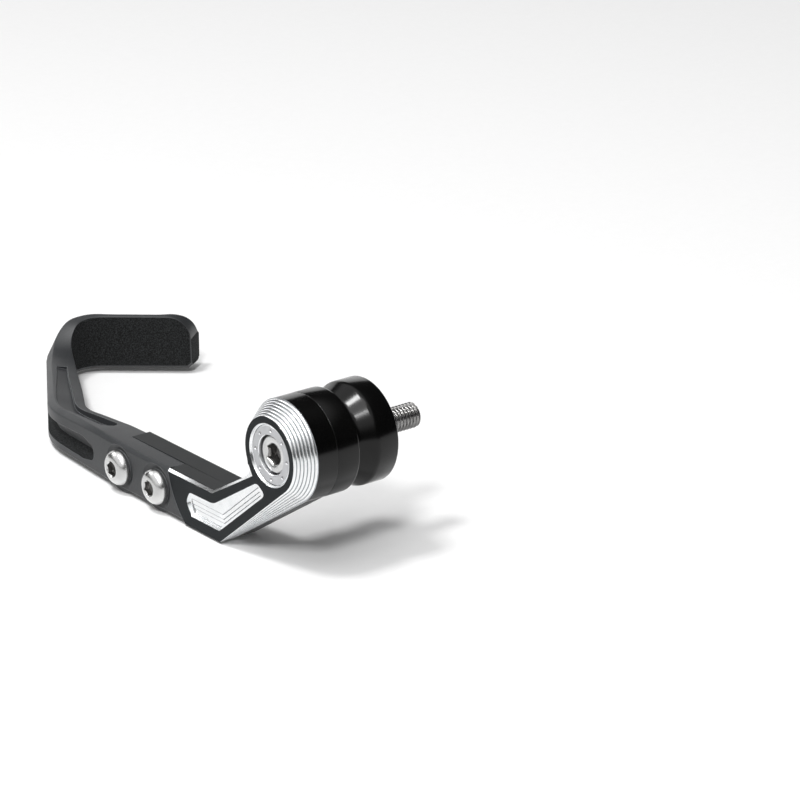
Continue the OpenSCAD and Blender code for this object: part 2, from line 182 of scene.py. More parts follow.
@dataclass(frozen=True, kw_only=True)
class Finish:
    """What all the finishes share: two mottled colours, a roughness that drifts a little, and fine
    relief that runs over softened edges."""

    name: str
    dark: str
    light: str
    roughness: float
    relief_mm: float
    relief_height_mm: float
    relief_detail: float = 2.0
    relief_gain: float = 0.5
    cloud_mm: float = 4.0
    cloud_detail: float = 2.0
    edge_mm: float = 0.06
    edge_samples: int = 4
    dark_stop: float = 0.3
    light_stop: float = 0.7
    speckled: bool = False

    def swing(self) -> float:
        """Returns how far the roughness drifts to each side."""
        return 0.1 * self.roughness

    def optics(self) -> dict[str | int, object]:
        """Returns the shader's even values."""
        return {"Metallic": 1.0}

    def relief(self, tree: bpy.types.NodeTree, place: bpy.types.NodeSocket) -> bpy.types.NodeSocket:
        """Adds the pattern that stands in relief.

        Args:
            tree: The finish's node tree.
            place: The place on the object.

        Returns:
            The pattern's height.
        """
        sockets = {
            "Vector": place,
            "Scale": per_mm(self.relief_mm),
            "Detail": self.relief_detail,
            "Roughness": self.relief_gain,
        }
        return add_node(tree, "ShaderNodeTexNoise", sockets=sockets).outputs["Fac"]

    def painted_edge_highlight(
        self, tree: bpy.types.NodeTree, tone: bpy.types.NodeSocket, edge: bpy.types.NodeSocket
    ) -> bpy.types.NodeSocket:
        """Returns the colour with its painted edge highlight, of which most of the finishes show none."""
        return tone

    def build(self) -> bpy.types.Material:
        """Builds the finish's node tree.

        Returns:
            The finish as a material.
        """
        material, tree = new_material(self.name)
        place = add_node(tree, "ShaderNodeTexCoord").outputs["Object"]
        relief = self.relief(tree, place)
        sockets = {"Vector": place, "Scale": per_mm(self.cloud_mm), "Detail": self.cloud_detail}
        cloud = add_node(tree, "ShaderNodeTexNoise", sockets=sockets).outputs["Fac"]
        sockets = {"Radius": self.edge_mm * MM}
        edge = add_node(tree, "ShaderNodeBevel", {"samples": self.edge_samples}, sockets).outputs["Normal"]
        low, high = self.roughness - self.swing(), self.roughness + self.swing()
        dull = add_node(tree, "ShaderNodeMapRange", sockets={"Value": cloud, "To Min": low, "To Max": high})
        stops = ((self.dark_stop, self.dark), (self.light_stop, self.light))
        sockets = {"Fac": relief if self.speckled else cloud}
        tone = add_node(tree, "ShaderNodeValToRGB", {"stops": stops}, sockets).outputs["Color"]
        bump = add_node(
            tree,
            "ShaderNodeBump",
            sockets={
                "Strength": 1.0,
                "Distance": self.relief_height_mm * MM,
                "Height": relief,
                "Normal": edge,
            },
        )
        surface = add_node(
            tree,
            "ShaderNodeBsdfPrincipled",
            sockets={
                "Base Color": self.painted_edge_highlight(tree, tone, edge),
                "Roughness": dull.outputs["Result"],
                "Normal": bump.outputs["Normal"],
                **self.optics(),
            },
        )
        add_node(tree, "ShaderNodeOutputMaterial", sockets={"Surface": surface.outputs["BSDF"]})
        return material


@dataclass(frozen=True, kw_only=True)
class GlassFilledNylon(Finish):
    """Injection moulded nylon with short glass fibres: dull charcoal, a little mottled, with a painted
    highlight along its edges, the mould's fine spark texture or a coarse sand texture."""

    # Colour of the painted highlight along sharp edges
    edge: str
    specular: float
    ior: float = 1.53
    relief_detail: float = 1.0
    relief_gain: float = 0.55
    cloud_mm: float = 14.0
    cloud_detail: float = 1.0
    edge_mm: float = 0.3
    edge_samples: int = 6
    dark_stop: float = 0.38
    speckled: bool = True
    highlight_share: float = 0.75

    def swing(self) -> float:
        """Returns how far the roughness drifts to each side."""
        return 0.05

    def optics(self) -> dict[str | int, object]:
        """Returns the shader's even values."""
        return {"IOR": self.ior, "Specular IOR Level": self.specular}

    def painted_edge_highlight(
        self, tree: bpy.types.NodeTree, tone: bpy.types.NodeSocket, edge: bpy.types.NodeSocket
    ) -> bpy.types.NodeSocket:
        """Paints a pale highlight into the colour where the surface turns sharply.

        Args:
            tree: The finish's node tree.
            tone: The colour without wear.
            edge: The softened normal.

        Returns:
            The colour with its painted edge highlight.
        """
        flat = add_node(tree, "ShaderNodeNewGeometry").outputs["Normal"]
        turn = add_node(tree, "ShaderNodeVectorMath", {"operation": "DOT_PRODUCT"}, {0: edge, 1: flat})
        painted_edge_highlight = add_node(
            tree,
            "ShaderNodeMapRange",
            sockets={
                "Value": turn.outputs["Value"],
                "From Min": 0.99,
                "From Max": 0.85,
                "To Max": self.highlight_share,
            },
        )
        sockets = {0: painted_edge_highlight.outputs["Result"], 6: tone, 7: linear(self.edge)}
        return add_node(tree, "ShaderNodeMix", {"data_type": "RGBA"}, sockets).outputs[2]


@dataclass(frozen=True, kw_only=True)
class AnodisedAluminium(Finish):
    """Aluminium under a black dyed oxide layer. Bead blasted first it is an even satin; turned first
    it is glossy, and only the clear layer's own reflection of the floor and the lamps shows."""

    metallic: float
    specular: float = 0.5
    cloud_mm: float = 9.0
    edge_mm: float = 0.2

    def optics(self) -> dict[str | int, object]:
        """Returns the shader's even values."""
        return {"Metallic": self.metallic, "Specular IOR Level": self.specular}


@dataclass(frozen=True, kw_only=True)
class BrightMetal(Finish):
    """Bare metal: cut aluminium or zinc-plated steel. The cutter's fine rings round the hub's axis
    streak its reflections, and the plating or the cut is a little cloudy."""

    relief_mm: float = 0.12
    relief_height_mm: float = 0.0002

    def relief(self, tree: bpy.types.NodeTree, place: bpy.types.NodeSocket) -> bpy.types.NodeSocket:
        """Adds the cutter's rings.

        Args:
            tree: The finish's node tree.
            place: The place on the object.

        Returns:
            The rings' height.
        """
        settings = {"wave_type": "RINGS", "rings_direction": "X", "wave_profile": "SIN"}
        scale = WAVE_UNIT * per_mm(self.relief_mm)
        sockets = {"Vector": place, "Scale": scale, "Distortion": 1.0, "Detail": 1.0}
        return add_node(tree, "ShaderNodeTexWave", settings, sockets).outputs["Fac"]


class Palette:
    """Every finish of the guard, built once."""

    def __init__(self) -> None:
        """Builds the materials."""
        # Smooth moulded faces: dull charcoal with a soft sheen on top and painted highlight lines along the
        # edges
        self.nylon = GlassFilledNylon(
            name="nylon_smooth_charcoal",
            dark="2F3133",
            light="38393B",
            edge="8E9193",
            relief_mm=0.35,
            relief_height_mm=0.008,
            roughness=0.46,
            specular=0.45,
        ).build()
        # Inner face and scoop: nearly black with pale specks, the grit drawn twice its real size to show; on
        # the end face it is painted shade
        self.sand = GlassFilledNylon(
            name="nylon_sand_and_painted_shade",
            dark="0E0F0F",
            light="303233",
            edge="2A2C2D",
            relief_mm=0.42,
            relief_height_mm=0.14,
            roughness=0.85,
            specular=0.25,
        ).build()
        # Faces of the arm: even dark satin
        self.satin = AnodisedAluminium(
            name="anodised_satin_black",
            dark="212426",
            light="272A2C",
            metallic=1.0,
            roughness=0.42,
            relief_mm=0.12,
            relief_height_mm=0.003,
        ).build()
        # Barrel and spacer: mirror black
        self.gloss = AnodisedAluminium(
            name="anodised_gloss_black",
            dark="060606",
            light="090909",
            metallic=0.0,
            roughness=0.16,
            relief_mm=0.5,
            relief_height_mm=0.0003,
            specular=0.3,
        ).build()
        # Ribs, pocket and chamfer: the brightest metal, nearly white
        self.cut = BrightMetal(
            name="aluminium_diamond_cut", dark="EEF0F1", light="F8F9FA", roughness=0.22
        ).build()
        # Fine lines along the pocket's terrace steps: grey on the bright floor, painted shade at each step
        self.step_shade = BrightMetal(
            name="aluminium_step_shade_line", dark="8A8E91", light="9A9EA1", roughness=0.45
        ).build()
        # Bottoms of the rib grooves: a little greyer than the ribs, painted shade in the grooves
        self.groove_shade = BrightMetal(
            name="aluminium_painted_groove_shade", dark="A2A5A8", light="B0B3B6", roughness=0.4
        ).build()
        # Ring in the hub's face and the sleeve: grey satin
        self.turned = BrightMetal(
            name="aluminium_turned_satin",
            dark="BEBFC1",
            light="C8C9CB",
            roughness=0.36,
            relief_height_mm=0.0004,
        ).build()
        # Screw and bolt heads: smooth bright grey
        self.plated = BrightMetal(
            name="steel_zinc_plated",
            dark="CFCFCF",
            light="DADAD9",
            roughness=0.25,
            relief_mm=0.4,
            relief_height_mm=0.00005,
        ).build()
        # Thread, key sockets and dimples: darker, a little brown, which in the sockets and dimples is
        # painted shade
        self.thread = BrightMetal(
            name="steel_thread_and_painted_shade",
            dark="8B8A89",
            light="9F9E9D",
            roughness=0.22,
            relief_mm=0.4,
            relief_height_mm=0.00005,
            edge_mm=0.01,
        ).build()


# Mesh tools


@dataclass
class Shell:
    """A mesh in millimetres: its points, its faces and each face's material number."""

    points: list[Spot]
    faces: list[tuple[int, ...]]
    marks: list[int]


def to_object(shell: Shell, name: str, materials: Sequence[bpy.types.Material] = ()) -> bpy.types.Object:
    """Makes a Blender object, still in millimetres, with its faces pointing out.

    Args:
        shell: The mesh.
        name: The object's name.
        materials: Its materials, in the order of the shell's marks.

    Returns:
        The object.
    """
    mesh = bpy.data.meshes.new(name)
    mesh.from_pydata(shell.points, [], shell.faces)
    for material in materials:
        mesh.materials.append(material)
    mesh.polygons.foreach_set("material_index", shell.marks)
    work = bmesh.new()
    work.from_mesh(mesh)
    bmesh.ops.remove_doubles(work, verts=work.verts, dist=1e-5)
    bmesh.ops.recalc_face_normals(work, faces=work.faces)
    work.to_mesh(mesh)
    work.free()
    piece = bpy.data.objects.new(name, mesh)
    bpy.context.scene.collection.objects.link(piece)
    return piece


def shape(piece: bpy.types.Object, tool: bpy.types.Object, cut: Cut = Cut.TAKE_AWAY) -> None:
    """Cuts or joins a tool body and removes it. The new faces keep the tool's material numbers.

    Args:
        piece: The piece that is changed.
        tool: The closed body that cuts it or joins it.
        cut: What the tool does.
    """
    change = piece.modifiers.new("shape", "BOOLEAN")
    change.operation = cut.value
    change.solver = "EXACT"
    change.material_mode = "INDEX"
    change.object = tool
    view = bpy.context.evaluated_depsgraph_get()
    mesh = bpy.data.meshes.new_from_object(piece.evaluated_get(view))
    piece.modifiers.clear()
    old, old_tool = piece.data, tool.data
    piece.data = mesh
    bpy.data.objects.remove(tool)
    bpy.data.meshes.remove(old)
    bpy.data.meshes.remove(old_tool)


def finish_piece(piece: bpy.types.Object, node: str, slot: Slot, angle: float = 32.0) -> None:
    """Turns a piece to metres, smooths its gentle edges and sets it in the frame.

    Args:
        piece: The piece.
        node: The CAD node it stands for.
        slot: The material slot; not used.
        angle: Edges sharper than this many degrees stay sharp.
    """
    work = bmesh.new()
    work.from_mesh(piece.data)
    bmesh.ops.remove_doubles(work, verts=work.verts, dist=1e-4)
    bmesh.ops.dissolve_degenerate(work, edges=work.edges, dist=1e-4)
    loose = [v for v in work.verts if not v.link_faces]
    bmesh.ops.delete(work, geom=loose, context="VERTS")
    work.to_mesh(piece.data)
    work.free()
    piece.data.transform(Matrix.Scale(MM, 4))
    piece.data.polygons.foreach_set("use_smooth", [True] * len(piece.data.polygons))
    piece.data.set_sharp_from_angle(angle=math.radians(angle))
    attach(piece, "root")
    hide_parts(node)
    LOG.info("%s: %d faces for %s", piece.name, len(piece.data.polygons), node)


def revolve(profile: Sequence[Pair], marks: Sequence[int] | int = 0, facets: int = FACETS) -> Shell:
    """Turns a closed profile of (x, radius) round the X axis.

    Args:
        profile: The profile's points in order; the last joins the first.
        marks: Material number of each stretch of the profile, or one for all.
        facets: Points round the circle.

    Returns:
        The turned shell.
    """
    points: list[Spot] = []
    rings: list[list[int]] = []
    for x, radius in profile:
        start = len(points)
        if radius < 1e-6:
            points.append((x, 0.0, 0.0))
            rings.append([start] * facets)
            continue
        for i in range(facets):
            turn = 2 * math.pi * i / facets
            points.append((x, radius * math.cos(turn), radius * math.sin(turn)))
        rings.append(list(range(start, start + facets)))
    faces: list[tuple[int, ...]] = []
    numbers: list[int] = []
    for k, ring in enumerate(rings):
        other = rings[(k + 1) % len(rings)]
        for i in range(facets):
            j = (i + 1) % facets
            corners = tuple(dict.fromkeys((ring[i], ring[j], other[j], other[i])))
            if len(corners) > 2:
                faces.append(corners)
                numbers.append(marks if isinstance(marks, int) else marks[k])
    return Shell(points, faces, numbers)


def loft(rings: Sequence[Sequence[Spot]], mark: Callable[[int, int], int], caps: Pair = (0, 0)) -> Shell:
    """Skins a row of closed rings that have equal numbers of points.

    Args:
        rings: The rings, in order.
        mark: Gives the material number of the stretch after ring k and point i.
        caps: Material numbers of the first and the last face.

    Returns:
        The closed shell.
    """
    count = len(rings[0])
    points = [p for ring in rings for p in ring]
    faces: list[tuple[int, ...]] = [tuple(range(count))]
    marks = [int(caps[0])]
    for k in range(len(rings) - 1):
        for i in range(count):
            j = (i + 1) % count
            faces.append((k * count + i, (k + 1) * count + i, (k + 1) * count + j, k * count + j))
            marks.append(mark(k, i))
    last = (len(rings) - 1) * count
    faces.append(tuple(last + i for i in reversed(range(count))))
    marks.append(int(caps[1]))
    return Shell(points, faces, marks)


def plate(x0: float, x1: float, outline: Sequence[Pair], mark: int = 0) -> Shell:
    """Makes a flat plate between two places along X.

    Args:
        x0: First place along X.
        x1: Second place along X.
        outline: Its outline as (forward, up) points.
        mark: Its material number.

    Returns:
        The plate.
    """
    rings = [[(x, y, z) for y, z in outline] for x in (x0, x1)]
    return loft(rings, lambda k, i: mark, (mark, mark))


def moved(shell: Shell, x: float = 0.0, y: float = 0.0, z: float = 0.0) -> Shell:
    """Moves a shell.

    Args:
        shell: The shell.
        x: Move along X.
        y: Move along Y.
        z: Move along Z.

    Returns:
        The moved copy.
    """
    return Shell([(p[0] + x, p[1] + y, p[2] + z) for p in shell.points], shell.faces, shell.marks)


def value_at(table: Table, s: float) -> float:
    """Reads a table of (place, value) with straight lines between its rows.

    Args:
        table: The rows, by rising place.
        s: The place.

    Returns:
        The value there.
    """
    if s <= table[0][0]:
        return table[0][1]
    for (a, low), (b, high) in zip(table, table[1:]):
        if s <= b:
            return low + (high - low) * (s - a) / (b - a)
    return table[-1][1]


def eased(table: Table, s: float, reach: float = 3.5) -> float:
    """Reads a table with its kinks rounded over a reach on both sides.

    Args:
        table: The rows, by rising place.
        s: The place.
        reach: Half the length over which the value is averaged.

    Returns:
        The averaged value.
    """
    shares = (-1.0, -0.67, -0.33, 0.0, 0.33, 0.67, 1.0)
    return sum(value_at(table, s + reach * share) for share in shares) / len(shares)


def fillet(points: Sequence[Pair], radii: Sequence[float], steps: int = 4) -> list[Pair]:
    """Rounds the corners of a closed outline, with the same number of points at each corner.

    Args:
        points: The outline's corners.
        radii: Radius at each corner.
        steps: Stretches in each rounded corner.

    Returns:
        The rounded outline.
    """
    out: list[Pair] = []
    count = len(points)
    for i, here in enumerate(points):
        k = Vector(here)
        a, b = Vector(points[i - 1]) - k, Vector(points[(i + 1) % count]) - k
        room = 0.45 * min(a.length, b.length)
        u, w = a.normalized(), b.normalized()
        half = max(u.angle(w, math.pi) / 2, 1e-3)
        back = min(radii[i] / math.tan(half), room)
        for step in range(steps + 1):
            t = step / steps
            spot = k + u * back * (1 - t) ** 2 + w * back * t**2
            out.append((spot.x, spot.y))
    return out


def arc(centre: Pair, radius: float, start: float, stop: float, steps: int) -> list[Pair]:
    """Points of an arc.

    Args:
        centre: Its centre.
        radius: Its radius.
        start: First angle, in degrees.
        stop: Last angle, in degrees.
        steps: Number of stretches.

    Returns:
        The points from start to stop.
    """
    turns = (math.radians(start + (stop - start) * i / steps) for i in range(steps + 1))
    return [(centre[0] + radius * math.cos(t), centre[1] + radius * math.sin(t)) for t in turns]


# The guard's pieces


@dataclass
class Hub:
    """The places along the hub's axis that several pieces share."""

    radius: float = 16.25
    face_x: float = -36.2
    bezel_x: float = -30.1
    lap_x: float = -29.5
    seam_x: float = -22.8
    face_radius: float = 12.0
    ring_radius: float = 9.3
    ring_step: float = 0.6
    ring_sink: float = 0.6
    head_sink: float = 0.8
    fit_gap: float = 0.1
    arm_low: float = -36.4
    arm_top: float = -20.8
    lug_end: float = 81.8
    lug_nose: float = 2.6
    lug_proud: float = 0.1
    joint_radius: float = 28.0
    joint_y: float = 25.5
    joint_z: float = -15.5
    joint_gap: float = 0.15
    sleeve_sink: float = 3.0
    screw_z: float = -28.8
    screw_ys: Pair = (79.8, 59.5)
    screw_radius: float = 3.0

    def lug_face(self, gap: float) -> list[Pair]:
        """Draws the lug's forward end.

        Args:
            gap: How far it is grown.

        Returns:
            Its points, from the top down.
        """
        end = self.lug_end + gap
        return [
            (end, self.arm_top + self.lug_proud + gap),
            (end + self.lug_nose, self.arm_top - self.lug_nose),
            (end + self.lug_nose, self.arm_low - gap),
        ]


@dataclass
class Bracket:
    """The milled vee arm with the hub's front half, its ribbed bezel and its terraced pocket."""

    hub: Hub
    palette: Palette
    vee_low: Pair = (26.0, -36.4)
    vee_top: Pair = (29.7, -20.8)
    vee_slope: float = 30.6
    vee_fillet: float = 6.0
    edge_chamfer: float = 0.75
    ribs: int = 7
    rib_height: float = 0.34
    pocket: tuple[Pair, ...] = (
        (41.6, -25.1),
        (29.2, -24.9),
        (6.6, -10.8),
        (2.3, -13.5),
        (26.2, -32.8),
        (40.5, -32.8),
        (43.5, -28.6),
    )
    pocket_rounds: tuple[float, ...] = (1.5, 7.0, 2.4, 2.0, 0.6, 0.9, 2.6)
    flat_rises: tuple[float, ...] = (5.6, 4.0, 2.7)
    slope_rises: tuple[float, ...] = (3.7, 2.4, 1.3)
    terrace_edge: float = 0.8
    terrace_rounds: tuple[float, ...] = (0.4, 0.8, 0.5, 0.5, 0.3, 0.3)
    pocket_depth: float = 0.7
    terrace_drop: float = 0.15
    line_width: float = 0.2
    around: int = 150
    bolt_hole: float = 4.25
    sleeve_seat: float = 9.1
    seat_depth: float = 9.6

    def slope_out(self) -> Vector:
        """Returns the direction square to the vee's upper slope."""
        turn = math.radians(self.vee_slope)
        return Vector((math.sin(turn), math.cos(turn)))

    def slope_along(self) -> Vector:
        """Returns the direction up the vee's upper slope to the hub."""
        turn = math.radians(self.vee_slope)
        return Vector((-math.cos(turn), math.sin(turn)))

    def fillet_centre(self, radius: float) -> Vector:
        """Finds the centre of the fillet between the upper slope and the hub.

        Args:
            radius: The hub's radius there.

        Returns:
            The fillet's centre as (forward, up).
        """
        high = Vector(self.vee_top).dot(self.slope_out()) + self.vee_fillet
        along = math.sqrt((radius + self.vee_fillet) ** 2 - high * high)
        return self.slope_out() * high - self.slope_along() * along

    def outline(self, radius: float, far_end: Sequence[Pair]) -> list[Pair]:
        """Draws the bracket's outline where the hub has a given radius.

        Args:
            radius: The hub's radius.
            far_end: The arm's forward end, from the top down.

        Returns:
            The outline, from the vee's lower corner over the hub to the far end.
        """
        low = Vector(self.vee_low)
        reach = low.length
        turn = math.atan2(-low.y, -low.x) + math.asin(radius / reach)
        run = math.sqrt(reach * reach - radius * radius)
        touch = low + run * Vector((math.cos(turn), math.sin(turn)))
        centre = self.fillet_centre(radius)
        a0 = math.degrees(math.atan2(touch.y, touch.x))
        a1 = math.degrees(math.atan2(centre.y, centre.x))
        around = arc((0.0, 0.0), radius, a0, a0 - (360 - a1 + a0), self.around)
        corner = arc((centre.x, centre.y), self.vee_fillet, a1 + 180, 270 - self.vee_slope, 14)[1:]
        return [self.vee_low, *around, *corner, self.vee_top, *far_end]

    def joint_arc(self) -> list[Pair]:
        """Draws the curved forward end of the outboard half.

        Returns:
            Its points, from the top down.
        """
        hub = self.hub
        top = math.degrees(math.asin((hub.arm_top - hub.joint_z) / hub.joint_radius))
        low = math.degrees(math.asin((hub.arm_low - hub.joint_z) / hub.joint_radius))
        return arc((hub.joint_y, hub.joint_z), hub.joint_radius, top, low, 24)

    def rib_rows(self) -> list[tuple[float, float, int]]:
        """Lays out the ribbed bezel: each rib swells out of the cone and falls back to its groove.

        Returns:
            Place along X, hub radius and material number of each row.
        """
        hub = self.hub
        rows: list[tuple[float, float, int]] = []
        swells = ((0.0, 0.0), (0.1, 0.72), (0.22, 0.96), (0.42, 1.0), (0.62, 0.9), (0.8, 0.66), (0.92, 0.3))
        for k in range(self.ribs):
            for place, swell in swells:
                t = (k + place) / self.ribs
                x = hub.face_x + (hub.bezel_x - hub.face_x) * t
                cone = hub.face_radius + (hub.radius - hub.face_radius) * t
                low = self.rib_height if k or place else 0.0
                # Rows at the bottoms of the grooves take the greyer metal: painted shade in the grooves
                groove = place in (swells[0][0], swells[-1][0]) and k
                rows.append((x, cone - low * (1 - swell), ArmFace.GROOVE_SHADE if groove else ArmFace.CUT))
        rows.append((hub.bezel_x, hub.radius, ArmFace.GLOSS))
        return rows

    def body(self) -> bpy.types.Object:
        """Builds the outboard half with its ribs, and joins the lug half to it.

        Returns:
            The body.
        """
        hub, steps = self.hub, self.around
        far = self.joint_arc()
        rows = self.rib_rows() + [(hub.lap_x + 0.05, hub.radius, ArmFace.GLOSS)]
        rings = [[(x, y, z) for y, z in self.outline(r, far)] for x, r, _ in rows]

        def mark(k: int, i: int) -> int:
            """Bright on the ribs, grey painted shade in their grooves, gloss on the barrel, satin on the
            arm.
            """
            return ArmFace.SATIN if i > steps else rows[k][2]

        def lug_mark(k: int, i: int) -> int:
            """Gloss on the barrel, satin on the arm."""
            return ArmFace.GLOSS if 0 < i <= steps else ArmFace.SATIN

        palette = self.palette
        finishes = [palette.satin, palette.cut, palette.gloss, palette.groove_shade, palette.step_shade]
        piece = to_object(loft(rings, mark), "bracket_arm", finishes)
        ring = self.outline(hub.radius, hub.lug_face(0.0))
        rings = [[(x, y, z) for y, z in ring] for x in (hub.lap_x, hub.seam_x)]
        shape(piece, to_object(loft(rings, lug_mark), "lug"), Cut.JOIN)
        return piece

    def terrace(self, step: int) -> list[Pair]:
        """Draws one terrace of the pocket: all of the outline below a vee-shaped line.

        Args:
            step: 0 for the shallow upper flat, and 1 or more for each step down.

        Returns:
            The terrace's outline.
        """
        if step == 0:
            return fillet(self.pocket, self.pocket_rounds, 6)
        near, corner, left = (Vector(self.pocket[i]) for i in (3, 4, 5))
        up_slope = (near - corner).normalized()
        square = Vector((-up_slope.y, up_slope.x))
        square = square if square.y > 0 else -square
        flat, rise, edge = self.flat_rises[step - 1], self.slope_rises[step - 1], self.terrace_edge
        foot, low = corner + square * rise, corner + square * edge
        elbow = foot + up_slope * ((corner.y + flat - foot.y) / up_slope.y)
        low_elbow = low + up_slope * ((corner.y + edge - low.y) / up_slope.y)
        end = near - up_slope * (2.2 + 0.5 * step)
        line = [
            tuple(end + square * rise),
            tuple(elbow),
            (left.x + 1.6 - 0.35 * step, corner.y + flat),
            (left.x - 0.3, corner.y + edge),
            tuple(low_elbow),
            tuple(end + square * edge),
        ]
        return fillet(line, self.terrace_rounds)

    def step_shade(self, step: int) -> list[Pair]:
        """Draws the fine grey line of painted shade along a terrace's upper edge, as a narrow band.

        Args:
            step: The terrace, from 1.

        Returns:
            The band's outline.
        """
        edge = self.terrace(step)[:15]
        band = self.line_width
        return [*edge, *((y - 0.3 * band, z - band) for y, z in reversed(edge))]

    def cut_pocket(self, piece: bpy.types.Object) -> None:
        """Mills the terraced pocket, bright all over, and then the fine lines of painted shade along its
        steps.

        Args:
            piece: The bracket.
        """
        face, terraces = self.hub.face_x, len(self.flat_rises) + 1
        depths = [face + self.pocket_depth + step * self.terrace_drop for step in range(terraces)]
        for step, depth in enumerate(depths):
            shape(piece, to_object(plate(face - 0.5, depth, self.terrace(step), ArmFace.CUT), "pocket"))
        for step in range(1, terraces):
            # A grey band along each step's upper edge: painted shade at the step
            line = plate(face - 0.5, depths[step] + self.line_width, self.step_shade(step), ArmFace.STEP_SHADE)
            shape(piece, to_object(line, "line"))

    def cut_chamfer(self, piece: bpy.types.Object) -> None:
        """Cuts the bright chamfer along the front upper edge of the arm and the vee.

        Args:
            piece: The bracket.
        """
        size, face = self.edge_chamfer, self.hub.face_x
        end = Vector(self.vee_top) + self.slope_along() * 24.0
        stretch = [Vector((self.hub.lug_end, self.hub.arm_top)), Vector(self.vee_top), end]
        outs = [Vector((0.0, 1.0)), None, self.slope_out()]
        middle = (outs[0] + outs[2]).normalized()
        outs[1] = middle / middle.dot(outs[0])
        rings = []
        for spot, out in zip(stretch, outs):
            inner, high = spot - out * size, spot + out * 3.0
            rings.append(
                [
                    (face - 3.0, inner.x - out.x * 3.0, inner.y - out.y * 3.0),
                    (face + size + 3.0, high.x, high.y),
                    (face - 3.0, high.x, high.y),
                ]
            )
        chamfer = loft(rings, lambda k, i: ArmFace.CUT, (ArmFace.CUT, ArmFace.CUT))
        shape(piece, to_object(chamfer, "chamfer"))

    def cut_seats(self, piece: bpy.types.Object) -> None:
        """Bores the ring's seat with its bright edge, the sleeve's seat and the screw holes.

        Args:
            piece: The bracket.
        """
        hub = self.hub
        bore, lip = hub.ring_radius + hub.fit_gap, hub.ring_radius + hub.ring_step
        face, seam = hub.face_x, hub.seam_x
        profile = [
            (face - 1.0, 0.0),
            (face - 1.0, lip),
            (face, lip),
            (face + hub.ring_sink + 0.1, lip - 0.3),
            (face + hub.ring_sink + 0.15, bore),
            (face + self.seat_depth, bore),
            (face + self.seat_depth, self.bolt_hole),
            (seam - hub.sleeve_sink, self.bolt_hole),
            (seam - hub.sleeve_sink, self.sleeve_seat),
            (seam + 1.0, self.sleeve_seat),
            (seam + 1.0, 0.0),
        ]
        shape(piece, to_object(revolve(profile, ArmFace.CUT), "seat"))
        x0, x1, radius = hub.lap_x - 1, seam + 1, hub.screw_radius + 0.05
        hole = revolve([(x0, 0), (x0, radius), (x1, radius), (x1, 0)], ArmFace.CUT, 64)
        for y in hub.screw_ys:
            shape(piece, to_object(moved(hole, 0.0, y, hub.screw_z), "screw_hole"))

    def build(self) -> None:
        """Builds the bracket and sets it in the frame."""
        piece = self.body()
        self.cut_pocket(piece)
        self.cut_chamfer(piece)
        self.cut_seats(piece)
        finish_piece(piece, "arm_bracket", Slot.ANODISED, 25.0)


